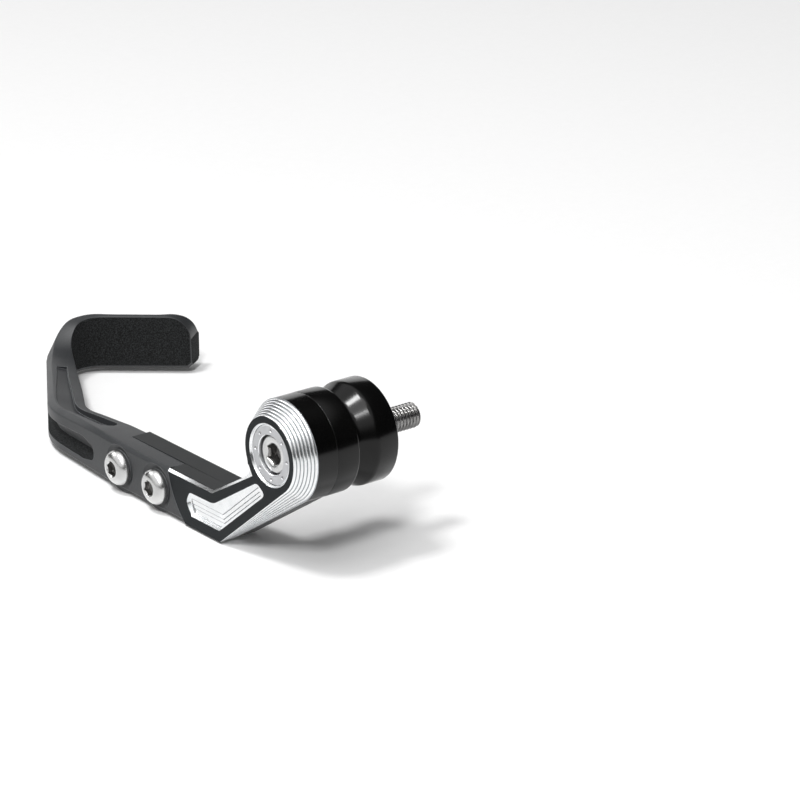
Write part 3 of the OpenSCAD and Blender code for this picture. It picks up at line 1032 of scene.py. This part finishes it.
@dataclass
class Blade:
    """The moulded blade: outboard half of the lap joint, bend, slanting leg, hook and end piece."""

    hub: Hub
    palette: Palette
    bend_y: float = 120.0
    bend_in: float = 1.7
    leg_length: float = 66.4
    leg_angle: float = 27.6
    end_length: float = 42.8
    end_angle: float = 129.6
    bend_radius: float = 22.0
    hook_radius: float = 10.0
    lap_depth: float = 13.4
    bend_depth: float = 12.7
    hook_depth: float = 7.2
    rise: float = 1.0
    end_height: float = 19.5
    leg_height: float = 11.5
    low_chamfer: float = 1.2
    tip_radius: float = 8.0
    tip_slant: float = 2.1
    groove_depths: tuple[Pair, ...] = ((0.0, 1.9), (12.0, 2.2), (26.0, 1.6), (40.0, 1.0))
    scoop_depth: float = 2.8

    def __post_init__(self) -> None:
        """Lays out the path and the tables of the section's sizes along it."""
        hub = self.hub
        start = Vector((hub.seam_x, hub.joint_y))
        lug = Vector((hub.seam_x, hub.lug_end))
        bend = Vector((hub.seam_x + self.bend_in, self.bend_y))
        hook = bend + self.leg_length * self.toward(self.leg_angle)
        tip = hook + self.end_length * self.toward(self.end_angle)
        first = self.round_corner(lug, bend, hook, self.bend_radius, 12)
        second = self.round_corner(bend, hook, tip, self.hook_radius, 28)
        self.path = [start, lug, *first, *second, tip]
        self.runs = [0.0]
        for a, b in zip(self.path, self.path[1:]):
            self.runs.append(self.runs[-1] + (b - a).length)
        self.end = self.runs[-1]
        self.lug_s = hub.lug_end - hub.joint_y
        self.bend_s = self.runs[8]
        self.turn_s = self.runs[15]
        self.hook_s = self.runs[29]
        self.out_s = self.runs[43]
        self.fill_tables()

    @staticmethod
    def toward(angle: float) -> Vector:
        """Returns the direction at an angle, in degrees, from straight ahead."""
        return Vector((math.sin(math.radians(angle)), math.cos(math.radians(angle))))

    @staticmethod
    def round_corner(a: Vector, k: Vector, b: Vector, radius: float, steps: int) -> list[Vector]:
        """Rounds one corner of the path.

        Args:
            a: The point before the corner.
            k: The corner.
            b: The point after it.
            radius: Radius of the round.
            steps: Number of stretches.

        Returns:
            The points of the round.
        """
        u, w = (a - k).normalized(), (b - k).normalized()
        half = u.angle(w) / 2
        centre = k + (u + w).normalized() * radius / math.sin(half)
        p, q = k + u * radius / math.tan(half), k + w * radius / math.tan(half)
        a0 = math.atan2(p.y - centre.y, p.x - centre.x)
        a1 = math.atan2(q.y - centre.y, q.x - centre.x)
        turn = (a1 - a0 + 3 * math.pi) % (2 * math.pi) - math.pi
        angles = [a0 + turn * i / steps for i in range(steps + 1)]
        return [centre + radius * Vector((math.cos(t), math.sin(t))) for t in angles]

    def fill_tables(self) -> None:
        """Writes the sizes of the blade's section as tables along its path."""
        top, lug, bend, turn = self.hub.arm_top, self.lug_s, self.bend_s, self.turn_s
        hook, out, end = self.hook_s, self.out_s, self.end
        dip = turn - 12
        end_top = self.hub.arm_low + self.rise + self.end_height
        lap, middle, thin = self.lap_depth, self.bend_depth, self.hook_depth
        leg_top = self.low_z(turn) + self.leg_height
        self.depth_table = [
            *((0, lap), (lug + 8, lap), (bend, middle), (turn, thin + 0.5)),
            *((hook - 6, thin - 0.6), (out, thin), (end, thin)),
        ]
        self.crest_table = [
            *((0, top), (lug, top + 0.4), (lug + 10, top + 0.7), (bend - 10, top - 0.3)),
            *((bend + 6, top - 2.2), (dip, self.low_z(dip) + self.leg_height)),
            *((turn - 6, leg_top), (turn, leg_top + 1), (turn + 5, leg_top + 4.7)),
            *((hook - 1, end_top - 1.1), (hook + 5, end_top - 0.1), (out, end_top), (end, end_top)),
        ]
        self.drop_table = [
            *((0, 0.6), (lug, 0.8), (lug + 10, 1.6), (bend - 8, 2.6), (bend + 10, 2)),
            *((dip, 1), (turn, 0.4), (out, 0.6), (end, 0.6)),
        ]
        self.crest_out_table = [
            *((0, lap - 0.8), (lug + 8, lap - 1), (bend, middle - 2.4), (dip, thin)),
            *((turn - 3, thin - 1.4), (hook, 3), (out, 0.8), (end - 8, 0.7), (end - 4, 2.6), (end, 6.2)),
        ]
        self.crest_in_table = [
            *((0, 0.4), (lug + 10, 0.5), (bend, 0.3), (bend + 15, -0.4)),
            *((dip, -0.9), (hook, -0.9), (out, -0.6), (end, -0.6)),
        ]
        self.bevel_table = [
            *((0, top - 1.1), (lug + 14, top - 1.2), (bend, top - 2), (bend + 30, top - 5.2)),
            *((hook, top - 6), (out, end_top - 9.4), (end, end_top - 8.7)),
        ]

    def low_z(self, s: float) -> float:
        """Returns the height of the lower edge at a place along the path."""
        return self.hub.arm_low + self.rise * s / self.end

    def spot(self, s: float) -> Vector:
        """Returns the path's point at a place along it."""
        x, y = (value_at(list(zip(self.runs, (p[axis] for p in self.path))), s) for axis in (0, 1))
        return Vector((x, y))

    def heading(self, s: float) -> Vector:
        """Returns the path's direction at a place along it."""
        return (self.spot(s + 0.4) - self.spot(s - 0.4)).normalized()

    def crest(self, s: float) -> float:
        """Returns the height of the top at a place along the path."""
        return eased(self.crest_table, s, 1.5)

    def top_at(self, s: float, offset: float) -> float:
        """Finds the height of the sloping top.

        Args:
            s: The place along the path.
            offset: How far outward from the path.

        Returns:
            The height there.
        """
        inner, outer = value_at(self.crest_in_table, s), value_at(self.crest_out_table, s)
        share = min(1.0, max(0.0, (outer - offset) / (outer - inner)))
        return self.crest(s) - value_at(self.drop_table, s) * share

    def section(self, s: float) -> list[Pair]:
        """Draws the section at a place along the path.

        Args:
            s: The place.

        Returns:
            Rounded outline as (offset outward, height), from the inner lower edge outwards and
            over the top.
        """
        low, depth, cham = self.low_z(s), eased(self.depth_table, s), self.low_chamfer
        past = max(0.0, s - (self.end - self.tip_radius))
        drop = self.tip_radius - math.sqrt(max(0.0, self.tip_radius**2 - past * past))
        lift = max(0.0, s - (self.end - 1.6)) * 0.8
        nose = max(0.0, s - (self.end - 0.6)) * 0.5
        top = self.crest(s) - drop
        bevel = min(eased(self.bevel_table, s), top - 0.4)
        corners = [
            (nose, low + cham + lift),
            (nose + cham, low + lift),
            (depth - cham, low + lift),
            (depth, low + cham + lift),
            (depth, bevel),
            (eased(self.crest_out_table, s) + nose * 0.3, top),
            (eased(self.crest_in_table, s) + nose, top - eased(self.drop_table, s)),
        ]
        return fillet(corners, (0.35, 0.5, 0.5, 0.5, 0.7, 0.45, 0.25), 4)

    def sweep(
        self,
        stations: Sequence[float],
        sections: Sequence[Sequence[Pair]],
        mark: Callable[[int, int], int],
        slant: float = 0.0,
    ) -> Shell:
        """Sweeps sections along the blade's path.

        Args:
            stations: Places along the path.
            sections: One section for each place, as (offset outward, height).
            mark: Gives the material number of the stretch after station k and point i.
            slant: How far the end face slants along the path.

        Returns:
            The closed shell.
        """
        rings: list[list[Spot]] = []
        for s, outline in zip(stations, sections):
            at, along = self.spot(s), self.heading(s)
            lean = slant * max(0.0, 1 - (self.end - s) / 10) / self.hook_depth
            side = Vector((-along.y, along.x)) + along * lean
            rings.append([(at.x + side.x * o, at.y + side.y * o, z) for o, z in outline])
        return loft(rings, mark)

    @staticmethod
    def stations(start: float, stop: float, step: float) -> list[float]:
        """Returns evenly spaced places from start to stop, no further apart than step."""
        count = math.ceil((stop - start) / step)
        return [start + (stop - start) * i / count for i in range(count + 1)]

    def body(self) -> bpy.types.Object:
        """Sweeps the blade's body, with the sand texture on its inner face and the same dark finish on its
        end face as painted shade.

        Returns:
            The body.
        """
        tip = self.end - self.tip_radius
        places = self.stations(0.0, tip, 1.1)
        places += [tip + self.tip_radius * math.sin(math.radians(a)) for a in range(6, 91, 6)]
        sections = [self.section(s) for s in places]
        inner = len(sections[0]) - 1
        from_s, to_s = self.bend_s + 18, self.end - 0.5

        def mark(k: int, i: int) -> int:
            """Sand on the inner face, smooth elsewhere."""
            return BladeFace.SAND_AND_SHADE if i == inner and from_s < places[k] < to_s else BladeFace.SMOOTH

        shell = self.sweep(places, sections, mark, self.tip_slant)
        # The end face takes the dark sand finish as painted shade
        shell.marks[-1] = BladeFace.SAND_AND_SHADE
        return to_object(shell, "guard_blade_moulding", [self.palette.nylon, self.palette.sand])

    def groove_tool(self) -> bpy.types.Object:
        """Builds the body that cuts the groove along the top.

        Returns:
            The body.
        """
        a, b, bend = self.lug_s + 12, self.turn_s - 14.3, self.bend_s
        places = [a, a + 0.8, a + 1.8, *self.stations(a + 3, b, 1.25)]
        near = [(a, 5.4), (a + 0.8, 3.9), (a + 1.8, 3.1), (a + 3, 2.7), (bend, 3.1), (b - 10, 2.5), (b, 1.9)]
        far = [(a, 6.2), (a + 0.8, 8.0), (a + 1.8, 9.0), (a + 3, 9.5)]
        far += [(bend, 9.9), (bend + 15, 8.6), (b - 10, 6.9), (b, 5.9)]
        sections = []
        for s in places:
            low, high, deep = value_at(near, s), value_at(far, s), value_at(self.groove_depths, s - a)
            draft = min(0.35, 0.2 * (high - low))
            inner, outer = self.top_at(s, low), self.top_at(s, high)
            floor = [(low + draft, inner - deep), (high - draft, outer - 0.6 * deep)]
            sections.append([*floor, (high, outer + 4), (low, inner + 4)])
        return to_object(self.sweep(places, sections, lambda k, i: BladeFace.SMOOTH), "groove")

    def scoop_tool(self) -> bpy.types.Object:
        """Builds the body that cuts the pocket in the outer face, with sand on its lower floor.

        Returns:
            The body.
        """
        a, b, bend, deepest = self.lug_s + 12.6, self.bend_s + 16, self.bend_s, self.scoop_depth
        places = [a, a + 0.5, a + 1.5, a + 2.6, a + 4, *self.stations(a + 5.5, b, 1.5)]
        bite = [(a, 0.6), (a + 4, deepest), (bend + 4, deepest), (b, 0.3)]
        up = [(a, 7.6), (a + 0.5, 8.9), (a + 1.5, 9.8), (a + 7, 11.2), (b, 9.6)]
        down = [(a, 5.4), (a + 0.5, 4.4), (a + 1.5, 3.7), (a + 7, 2.8), (b, 3.4)]
        base = self.hub.arm_low + 0.3
        sections = []
        for s in places:
            out, deep = eased(self.depth_table, s), value_at(bite, s)
            high, low = base + value_at(up, s), base + value_at(down, s)
            floor = [(out - deep * 0.55, high - 0.5), (out - deep, low + (high - low) * 0.42)]
            sections.append([(out - deep * 0.4, low + 0.5), (out + 3, low), (out + 3, high), *floor])

        def mark(k: int, i: int) -> int:
            """Sand on the lower floor and its foot, smooth elsewhere."""
            return BladeFace.SAND_AND_SHADE if i in (0, 4) else BladeFace.SMOOTH

        return to_object(self.sweep(places, sections, mark), "scoop")

    def lap_tools(self) -> list[bpy.types.Object]:
        """Builds the bodies that cut the lap joint and the curved joint.

        Returns:
            The two bodies.
        """
        hub, gap = self.hub, 0.04
        back, top = hub.joint_y - 1, hub.arm_top + 5
        outline = [(back, hub.arm_low - 2), (back, top), (hub.lug_end + gap, top), *hub.lug_face(gap)]
        outline.append((hub.lug_end + hub.lug_nose + gap, hub.arm_low - 2))
        lap = to_object(plate(hub.lap_x - gap, hub.seam_x + 5, outline), "lap")
        x0, x1, radius = hub.face_x - 1, hub.seam_x + 1, hub.joint_radius + hub.joint_gap
        disc = revolve([(x0, 0), (x0, radius), (x1, radius), (x1, 0)], facets=240)
        return [lap, to_object(moved(disc, 0.0, hub.joint_y, hub.joint_z), "joint")]

    def bosses(self) -> list[bpy.types.Object]:
        """Builds the round bosses that bulge below the edge round the screws.

        Returns:
            One half disc for each screw.
        """
        hub = self.hub
        radius = hub.screw_z - hub.arm_low + 0.8
        x0, x1 = hub.face_x + 0.6, hub.lap_x - hub.joint_gap
        rows = ((x0, radius - 0.4), (x0 + 0.4, radius), (x1, radius))
        tools = []
        for y in hub.screw_ys:
            rings = [[(x, p, q) for p, q in arc((y, hub.screw_z), r, 180, 360, 48)] for x, r in rows]
            tools.append(to_object(loft(rings, lambda k, i: BladeFace.SMOOTH), "boss"))
        return tools

    def seats(self) -> list[bpy.types.Object]:
        """Builds the bodies that cut the dished seats and the holes of the screws.

        Returns:
            One body for each screw.
        """
        hub = self.hub
        face, back, hole = hub.face_x, hub.lap_x + 1, hub.screw_radius + 0.1
        profile = [
            *((face - 4, 0), (face - 4, 8.6), (face - 0.2, 7.9), (face + 0.15, 7.4), (face + 0.8, 6.1)),
            *((face + 0.8, 5.6), (face + 0.5, 5.5), (face + 0.5, hole), (back, hole), (back, 0)),
        ]
        seat = revolve(profile, facets=96)
        return [to_object(moved(seat, 0.0, y, hub.screw_z), "seat") for y in hub.screw_ys]

    def build(self) -> None:
        """Builds the blade and sets it in the frame."""
        piece = self.body()
        for boss in self.bosses():
            shape(piece, boss, Cut.JOIN)
        for tool in [*self.lap_tools(), self.groove_tool(), self.scoop_tool(), *self.seats()]:
            shape(piece, tool)
        finish_piece(piece, "guard_blade", Slot.MOULDED, 28.0)


@dataclass
class Spacer:
    """The glossy turned ring behind the seam, with its groove and its rear rim."""

    hub: Hub
    palette: Palette
    collar: float = 7.5
    groove: float = 8.6
    depth: float = 3.0
    shoulder: float = 1.2
    shoulder_turn: int = 60
    rear_round: float = 2.6
    flank: int = 32
    floor_bend: float = 1.2
    flange_seat: float = 13.0
    flange_depth: float = 3.0
    bore: float = 9.1

    def rounded(self, radius: float, turn: int, step: int) -> list[Pair]:
        """Draws a round that falls away from the ring's outside.

        Args:
            radius: Its radius.
            turn: How far it turns, in degrees.
            step: Degrees from point to point.

        Returns:
            Its points as (distance along the axis, radius of the ring).
        """
        angles = [math.radians(a) for a in range(0, turn + 1, step)]
        return [(radius * math.sin(t), self.hub.radius - radius * (1 - math.cos(t))) for t in angles]

    def outside(self) -> list[Pair]:
        """Draws the outside: collar, round shoulder, groove with its straight flank, rear rim.

        Returns:
            Its points, from the seam to the rear face.
        """
        radius, seam = self.hub.radius, self.hub.seam_x
        front, rear = seam + self.collar, seam + self.collar + self.groove
        neck, slope, bend = radius - self.depth, math.tan(math.radians(self.flank)), self.floor_bend
        shoulder = [(front + x, r) for x, r in self.rounded(self.shoulder, self.shoulder_turn, 6)]
        rim = [(rear - x, r) for x, r in reversed(self.rounded(self.rear_round, self.flank, 4))]
        (start, lip), (top_x, top_r) = shoulder[-1], rim[0]
        deepest = top_x - (top_r - neck - 0.5 * slope * bend) / slope - bend
        points = [(seam + 0.05, radius - 0.1), (seam + 0.1, radius - 0.03), (seam + 0.2, radius), *shoulder]
        for i in range(1, 13):
            t = i / 12
            points.append((start + t * (deepest - start), lip - (lip - neck) * math.sin(t * math.pi / 2)))
        points += [(deepest + bend * i / 6, neck + 0.5 * slope * bend * (i / 6) ** 2) for i in range(1, 7)]
        points += rim
        return points + [(-0.5, radius), (-0.3, radius - 0.06), (-0.06, radius - 0.3), (0.0, radius - 0.5)]

    def build(self) -> None:
        """Builds the spacer and sets it in the frame."""
        seat, floor = self.flange_seat, -self.flange_depth
        inside = [(0.0, seat + 0.25), (-0.25, seat), (floor, seat), (floor, self.bore)]
        profile = [*self.outside(), *inside, (self.hub.seam_x + 0.05, self.bore)]
        piece = to_object(revolve(profile), "spacer_grooved", [self.palette.gloss])
        finish_piece(piece, "grooved_spacer", Slot.GLOSS, 40.0)


@dataclass
class Sleeve:
    """The silver sleeve inside the hub, whose flange is flush with the rear rim."""

    hub: Hub
    palette: Palette
    flange_radius: float = 12.9
    tube_radius: float = 9.0
    bore: float = 4.25
    rear_bore: float = 6.05

    def build(self) -> None:
        """Builds the sleeve, with the fine ring turned in its rear face, and sets it in the frame."""
        front, bore, tube = self.hub.seam_x - self.hub.sleeve_sink, self.bore, self.tube_radius
        flange, rear = self.flange_radius, self.rear_bore
        profile = [
            *((front, bore), (front, tube - 0.3), (front + 0.3, tube), (-3.0, tube), (-3.0, flange)),
            *((-0.25, flange), (0.0, flange - 0.25), (0.0, 10.2), (-0.12, 10.1), (-0.12, 9.9), (0.0, 9.8)),
            *((0.0, rear + 0.5), (-0.5, rear), (-9.0, rear), (-9.6, bore + 0.4), (-9.6, bore)),
        ]
        piece = to_object(revolve(profile), "sleeve_turned", [self.palette.turned])
        finish_piece(piece, "inner_sleeve", Slot.BARE)


@dataclass
class CapRing:
    """The satin silver ring in the hub's face, with its bright edge and its row of dimples."""

    hub: Hub
    palette: Palette
    length: float = 9.0
    head_hole: float = 6.15
    head_depth: float = 6.8
    bore: float = 4.25
    dimples: int = 8
    dimple_radius: float = 0.6
    dimple_depth: float = 0.5

    def build(self) -> None:
        """Builds the ring and sets it in the frame."""
        front = self.hub.face_x + self.hub.ring_sink
        radius, hole = self.hub.ring_radius, self.head_hole
        back, floor = front + self.length, front + self.head_depth
        profile = [
            *((front + 0.32, radius), (back - 0.3, radius), (back, radius - 0.3), (back, self.bore)),
            *((floor, self.bore), (floor, hole), (front + 0.22, hole)),
            *((front, hole + 0.2), (front, radius - 0.32)),
        ]
        plain, bright, dark = RingFace.TURNED, RingFace.CUT, RingFace.DARK
        marks = [*[plain] * 6, bright, plain, bright]
        finishes = [self.palette.turned, self.palette.cut, self.palette.thread]
        piece = to_object(revolve(profile, marks), "cap_ring_turned", finishes)
        ring, size = (radius + hole) / 2, self.dimple_radius
        bowl = [(front - 0.4, 0), (front - 0.4, size), (front, size)]
        bowl += [(front + 0.3, size * 0.75), (front + self.dimple_depth, 0)]
        # The dimples' lower stretches take the dark steel: painted shade in the pits
        dimple = revolve(bowl, [plain, plain, plain, dark, dark], 28)
        for i in range(self.dimples):
            turn = 2 * math.pi * i / self.dimples
            tool = moved(dimple, 0.0, -ring * math.sin(turn), ring * math.cos(turn))
            shape(piece, to_object(tool, "dimple"))
        finish_piece(piece, "cap_ring", Slot.BARE)


def hexagon(x0: float, x1: float, flats: float, turn: float = 0.0) -> Shell:
    """Makes a six-sided bar along X.

    Args:
        x0: Its first end.
        x1: Its last end.
        flats: Its width across the flats.
        turn: Its turn about X, in degrees.

    Returns:
        The bar.
    """
    corner = flats / math.sqrt(3)
    turns = [math.radians(60 * i + turn) for i in range(6)]
    # All its faces are dark steel: cut as a key socket, its walls are painted shade
    return plate(x0, x1, [(corner * math.cos(t), corner * math.sin(t)) for t in turns], BoltFace.DARK)


def cut_socket(
    piece: bpy.types.Object,
    mouth: float,
    depth: float,
    flats: float,
    place: Pair = (0.0, 0.0),
    turn: float = 90.0,
) -> None:
    """Cuts a key socket with a chamfered mouth and a drilled point.

    Args:
        piece: The bolt or screw.
        mouth: Place of the socket's mouth along X.
        depth: Its depth.
        flats: Width across the flats.
        place: Forward and up place of its axis.
        turn: Turn of the hexagon about X, in degrees.
    """
    corner, drill = flats / math.sqrt(3), flats * 0.46
    end, floor = mouth + corner - flats / 2 + 0.25, mouth + depth
    cone = [(mouth - 1, 0), (mouth - 1, corner + 1.15), (end, flats / 2 - 0.1), (end, 0)]
    point = [(mouth, 0), (mouth, drill), (floor, drill), (floor + drill * 0.5, 0)]
    # The hexagon's walls and the drilled point are dark steel, painted shade in the socket; the mouth stays
    # plated
    tools = (
        hexagon(mouth - 1, floor, flats, turn),
        revolve(cone, BoltFace.PLATED, 96),
        revolve(point, BoltFace.DARK, 64),
    )
    for tool in tools:
        shape(piece, to_object(moved(tool, 0.0, *place), "socket"))


@dataclass
class CentreBolt:
    """The M8 bolt through the hub: low round head with a key socket, plain shank, free thread."""

    hub: Hub
    palette: Palette
    head_radius: float = 5.8
    head_length: float = 6.0
    flats: float = 6.3
    socket_depth: float = 3.8
    thread_depth: float = 0.6
    radius: float = 4.0
    pitch: float = 1.25
    reach: float = 18.4
    tip_chamfer: float = 0.55
    run_in: float = 0.4
    row_mm: float = 0.05
    facets: int = 96

    def thread_radius(self, x: float, turn: float) -> float:
        """Gives the thread's radius at a place along it and round it.

        Args:
            x: Place along the axis.
            turn: Place round it, as a share of a turn.

        Returns:
            The radius.
        """
        phase = (x / self.pitch - turn) % 1.0
        crown = self.radius - self.thread_depth * (0.5 - 0.5 * math.cos(2 * math.pi * phase))
        return min(crown, self.radius - self.tip_chamfer + (self.reach - x))

    def build(self) -> None:
        """Builds the bolt and sets it in the frame."""
        front = self.hub.face_x + self.hub.ring_sink + self.hub.head_sink
        seat, head, shank = front + self.head_length, self.head_radius, self.radius - 0.4
        plain = [
            *((front + 0.02, 0.0), (front + 0.02, head - 0.62), (front + 0.1, head - 0.32)),
            *((front + 0.3, head - 0.1), (front + 0.55, head), (seat, head), (seat, shank), (-0.7, shank)),
        ]
        rings: list[list[Spot]] = []
        turns = [i / self.facets for i in range(self.facets)]
        for x, radius in plain:
            angles = (2 * math.pi * turn for turn in turns)
            rings.append([(x, radius * math.cos(a), radius * math.sin(a)) for a in angles])
        steps = int(self.reach / self.row_mm)
        for k in range(steps + 1):
            x = -self.run_in + (self.reach + self.run_in) * k / steps
            rows = ((2 * math.pi * turn, self.thread_radius(x, turn)) for turn in turns)
            rings.append([(x, radius * math.cos(a), radius * math.sin(a)) for a, radius in rows])

        def mark(k: int, i: int) -> int:
            """Plated on the head and the shank, dark on the thread."""
            return BoltFace.PLATED if k < len(plain) - 1 else BoltFace.DARK

        finishes = [self.palette.plated, self.palette.thread]
        piece = to_object(loft(rings, mark, (BoltFace.PLATED, BoltFace.DARK)), "centre_bolt_m8", finishes)
        cut_socket(piece, front + 0.02, self.socket_depth, self.flats, turn=30.0)
        finish_piece(piece, "centre_bolt", Slot.STEEL, 50.0)


@dataclass
class GuardScrew:
    """One M6 button screw that holds the blade to the lug, with its end flush in the lug."""

    hub: Hub
    palette: Palette
    y: float
    node: str
    key_turn: float
    head_radius: float = 5.75
    head_height: float = 3.6
    flats: float = 4.5
    socket_depth: float = 2.2
    crown: float = 2.5

    def build(self) -> None:
        """Builds the screw and sets it in the frame."""
        seat, end, shank = self.hub.face_x + 0.5, self.hub.seam_x, self.hub.screw_radius
        radius, height, crown = self.head_radius, self.head_height, self.crown
        profile: list[Pair] = [(seat - height, 0.0), (seat - height, crown - 0.25)]
        for a in range(0, 91, 6):
            t = math.radians(a)
            x = seat - 0.55 - (height - 0.6) * math.cos(t) ** 0.9 if a < 90 else seat - 0.55
            profile.append((x, crown + (radius - crown) * math.sin(t)))
        profile += [(seat - 0.2, radius), (seat, radius - 0.2), (seat, shank)]
        profile += [(end - 0.5, shank), (end, shank - 0.5), (end, 0.0)]
        place = (self.y, self.hub.screw_z)
        shell = moved(revolve(profile, BoltFace.PLATED, 128), 0.0, *place)
        piece = to_object(shell, f"button_{self.node}", [self.palette.plated, self.palette.thread])
        cut_socket(piece, seat - height, self.socket_depth, self.flats, place, self.key_turn)
        finish_piece(piece, self.node, Slot.STEEL, 40.0)


# Studio


@dataclass
class Studio:
    """Pale floor, soft lamps and the camera."""

    floor_z: float = -37.22
    floor_radius: float = 6000.0
    lens_mm: float = 173.86
    azimuth: float = 0.903245153
    pitch: float = 0.366007644
    roll: float = -0.00238841391
    camera_at: Spot = (-662.509, -857.087, 424.150)
    lift: float = 0.03
    glossy_lift: float = 0.14
    sky_light: float = 0.4
    sky_centre: Spot = (-0.5, 0.0, 0.866)
    sky: tuple[tuple[float, str], ...] = (
        (0.0, "303030"),
        (0.4, "3C3C3C"),
        (0.5, "757575"),
        (0.65, "EAEAEA"),
        (0.8, "F6F6F6"),
    )
    aim: Spot = (0.0, 30.0, -10.0)
    # Each lamp's name, place, size and watts
    lamps: tuple[tuple[str, Spot, Pair, float], ...] = (
        ("overhead_spot", (-455, 121, 1199), (220, 220), 6.2),
        ("overhead_softbox", (-390, -100, 1220), (800, 800), 4.5),
        ("front_softbox", (-650, -555, 952), (220, 220), 4.8),
        ("back_softbox", (-504, 1052, 802), (700, 450), 2.0),
        ("back_strip", (548, 1385, 328), (1500, 650), 3.7),
    )

    def build_floor(self) -> None:
        """Builds the floor, whose white is lifted a little for what looks at it."""
        ring = arc((0.0, 0.0), self.floor_radius, 0, 360, 96)[:-1]
        mesh = bpy.data.meshes.new("floor")
        mesh.from_pydata([(x * MM, y * MM, self.floor_z * MM) for x, y in ring], [], [tuple(range(96))])
        floor = bpy.data.objects.new("floor", mesh)
        bpy.context.scene.collection.objects.link(floor)
        material, tree = new_material("paper_floor_white")
        glossy = add_node(tree, "ShaderNodeLightPath").outputs["Is Glossy Ray"]
        sockets = {"Value": glossy, "To Min": self.lift, "To Max": self.glossy_lift}
        share = add_node(tree, "ShaderNodeMapRange", sockets=sockets).outputs["Result"]
        place = add_node(tree, "ShaderNodeTexCoord").outputs["Object"]
        fibre = add_node(tree, "ShaderNodeTexNoise", sockets={"Vector": place, "Scale": per_mm(3.0)})
        stops = ((0.0, "F6F6F6"), (1.0, "F9F9F9"))
        tone = add_node(tree, "ShaderNodeValToRGB", {"stops": stops}, {"Fac": fibre.outputs["Fac"]})
        sockets = {"Color": tone.outputs["Color"], "Roughness": 0.9}
        paper = add_node(tree, "ShaderNodeBsdfDiffuse", sockets=sockets)
        sockets = {"Color": linear("FFFFFF"), "Strength": share}
        glow = add_node(tree, "ShaderNodeEmission", sockets=sockets)
        both = add_node(tree, "ShaderNodeAddShader", sockets={0: paper.outputs[0], 1: glow.outputs[0]})
        add_node(tree, "ShaderNodeOutputMaterial", sockets={"Surface": both.outputs[0]})
        mesh.materials.append(material)

    def build_world(self) -> None:
        """Lights the world: pale overhead on the left, dark on the right, grey at the back."""
        world = bpy.data.worlds.new("studio_room")
        bpy.context.scene.world = world
        world.use_nodes = True
        tree = world.node_tree
        tree.nodes.clear()
        place = add_node(tree, "ShaderNodeTexCoord").outputs["Generated"]
        sockets = {0: place, 1: self.sky_centre}
        height = add_node(tree, "ShaderNodeVectorMath", {"operation": "DOT_PRODUCT"}, sockets)
        sockets = {"Fac": height.outputs["Value"]}
        tone = add_node(tree, "ShaderNodeValToRGB", {"stops": self.sky}, sockets).outputs["Color"]
        glossy = add_node(tree, "ShaderNodeLightPath").outputs["Is Glossy Ray"]
        sockets = {"Value": glossy, "To Min": self.sky_light, "To Max": 1.0}
        share = add_node(tree, "ShaderNodeMapRange", sockets=sockets).outputs["Result"]
        back = add_node(tree, "ShaderNodeBackground", sockets={"Color": tone, "Strength": share})
        add_node(tree, "ShaderNodeOutputWorld", sockets={"Surface": back.outputs[0]})

    def add_lamp(self, name: str, at: Spot, size: Pair, watts: float) -> None:
        """Adds a rectangular softbox that the camera doesn't see, pointed at the guard.

        Args:
            name: Its name.
            at: Its place, in millimetres.
            size: Its width and height, in millimetres.
            watts: Its power.
        """
        light = bpy.data.lights.new(name, "AREA")
        light.shape = "RECTANGLE"
        light.size, light.size_y = size[0] * MM, size[1] * MM
        light.energy = watts
        lamp = bpy.data.objects.new(name, light)
        bpy.context.scene.collection.objects.link(lamp)
        lamp.location = Vector(at) * MM
        lamp.rotation_euler = (Vector(self.aim) - Vector(at)).to_track_quat("-Z", "Y").to_euler()
        lamp.visible_camera = False

    def build_camera(self) -> None:
        """Places the camera at the photograph's viewing angle."""
        a, p, r = self.azimuth, self.pitch, self.roll
        ahead = Vector((math.cos(p) * math.cos(a), math.cos(p) * math.sin(a), -math.sin(p)))
        right = ahead.cross(Vector((0, 0, 1))).normalized()
        up = right.cross(ahead)
        side = right * math.cos(r) + up * math.sin(r)
        top = up * math.cos(r) - right * math.sin(r)
        data = bpy.data.cameras.new("camera")
        data.lens, data.sensor_width, data.sensor_fit = self.lens_mm, 36.0, "HORIZONTAL"
        data.clip_start, data.clip_end = 0.01, 50.0
        camera = bpy.data.objects.new("camera", data)
        bpy.context.scene.collection.objects.link(camera)
        turn = Matrix((side, top, -ahead)).transposed()
        camera.matrix_world = Matrix.Translation(Vector(self.camera_at) * MM) @ turn.to_4x4()
        bpy.context.scene.camera = camera

    def build(self) -> None:
        """Builds the studio."""
        bpy.context.scene.view_settings.view_transform = "Standard"
        self.build_floor()
        self.build_world()
        for name, at, size, watts in self.lamps:
            self.add_lamp(name, at, size, watts)
        self.build_camera()
        LOG.info("studio: floor, %d lamps and camera", len(self.lamps))


def main() -> None:
    """Builds the guard piece by piece, and then the studio."""
    logging.basicConfig(level=logging.INFO, format="%(name)s: %(message)s")
    hub, palette = Hub(), Palette()
    pieces = [
        Blade(hub, palette),
        Bracket(hub, palette),
        Spacer(hub, palette),
        Sleeve(hub, palette),
        CapRing(hub, palette),
        CentreBolt(hub, palette),
        GuardScrew(hub, palette, hub.screw_ys[0], "guard_screw_front", 75.0),
        GuardScrew(hub, palette, hub.screw_ys[1], "guard_screw_rear", 96.0),
    ]
    for piece in pieces:
        piece.build()
    Studio().build()


if __name__ == "__main__":
    main()
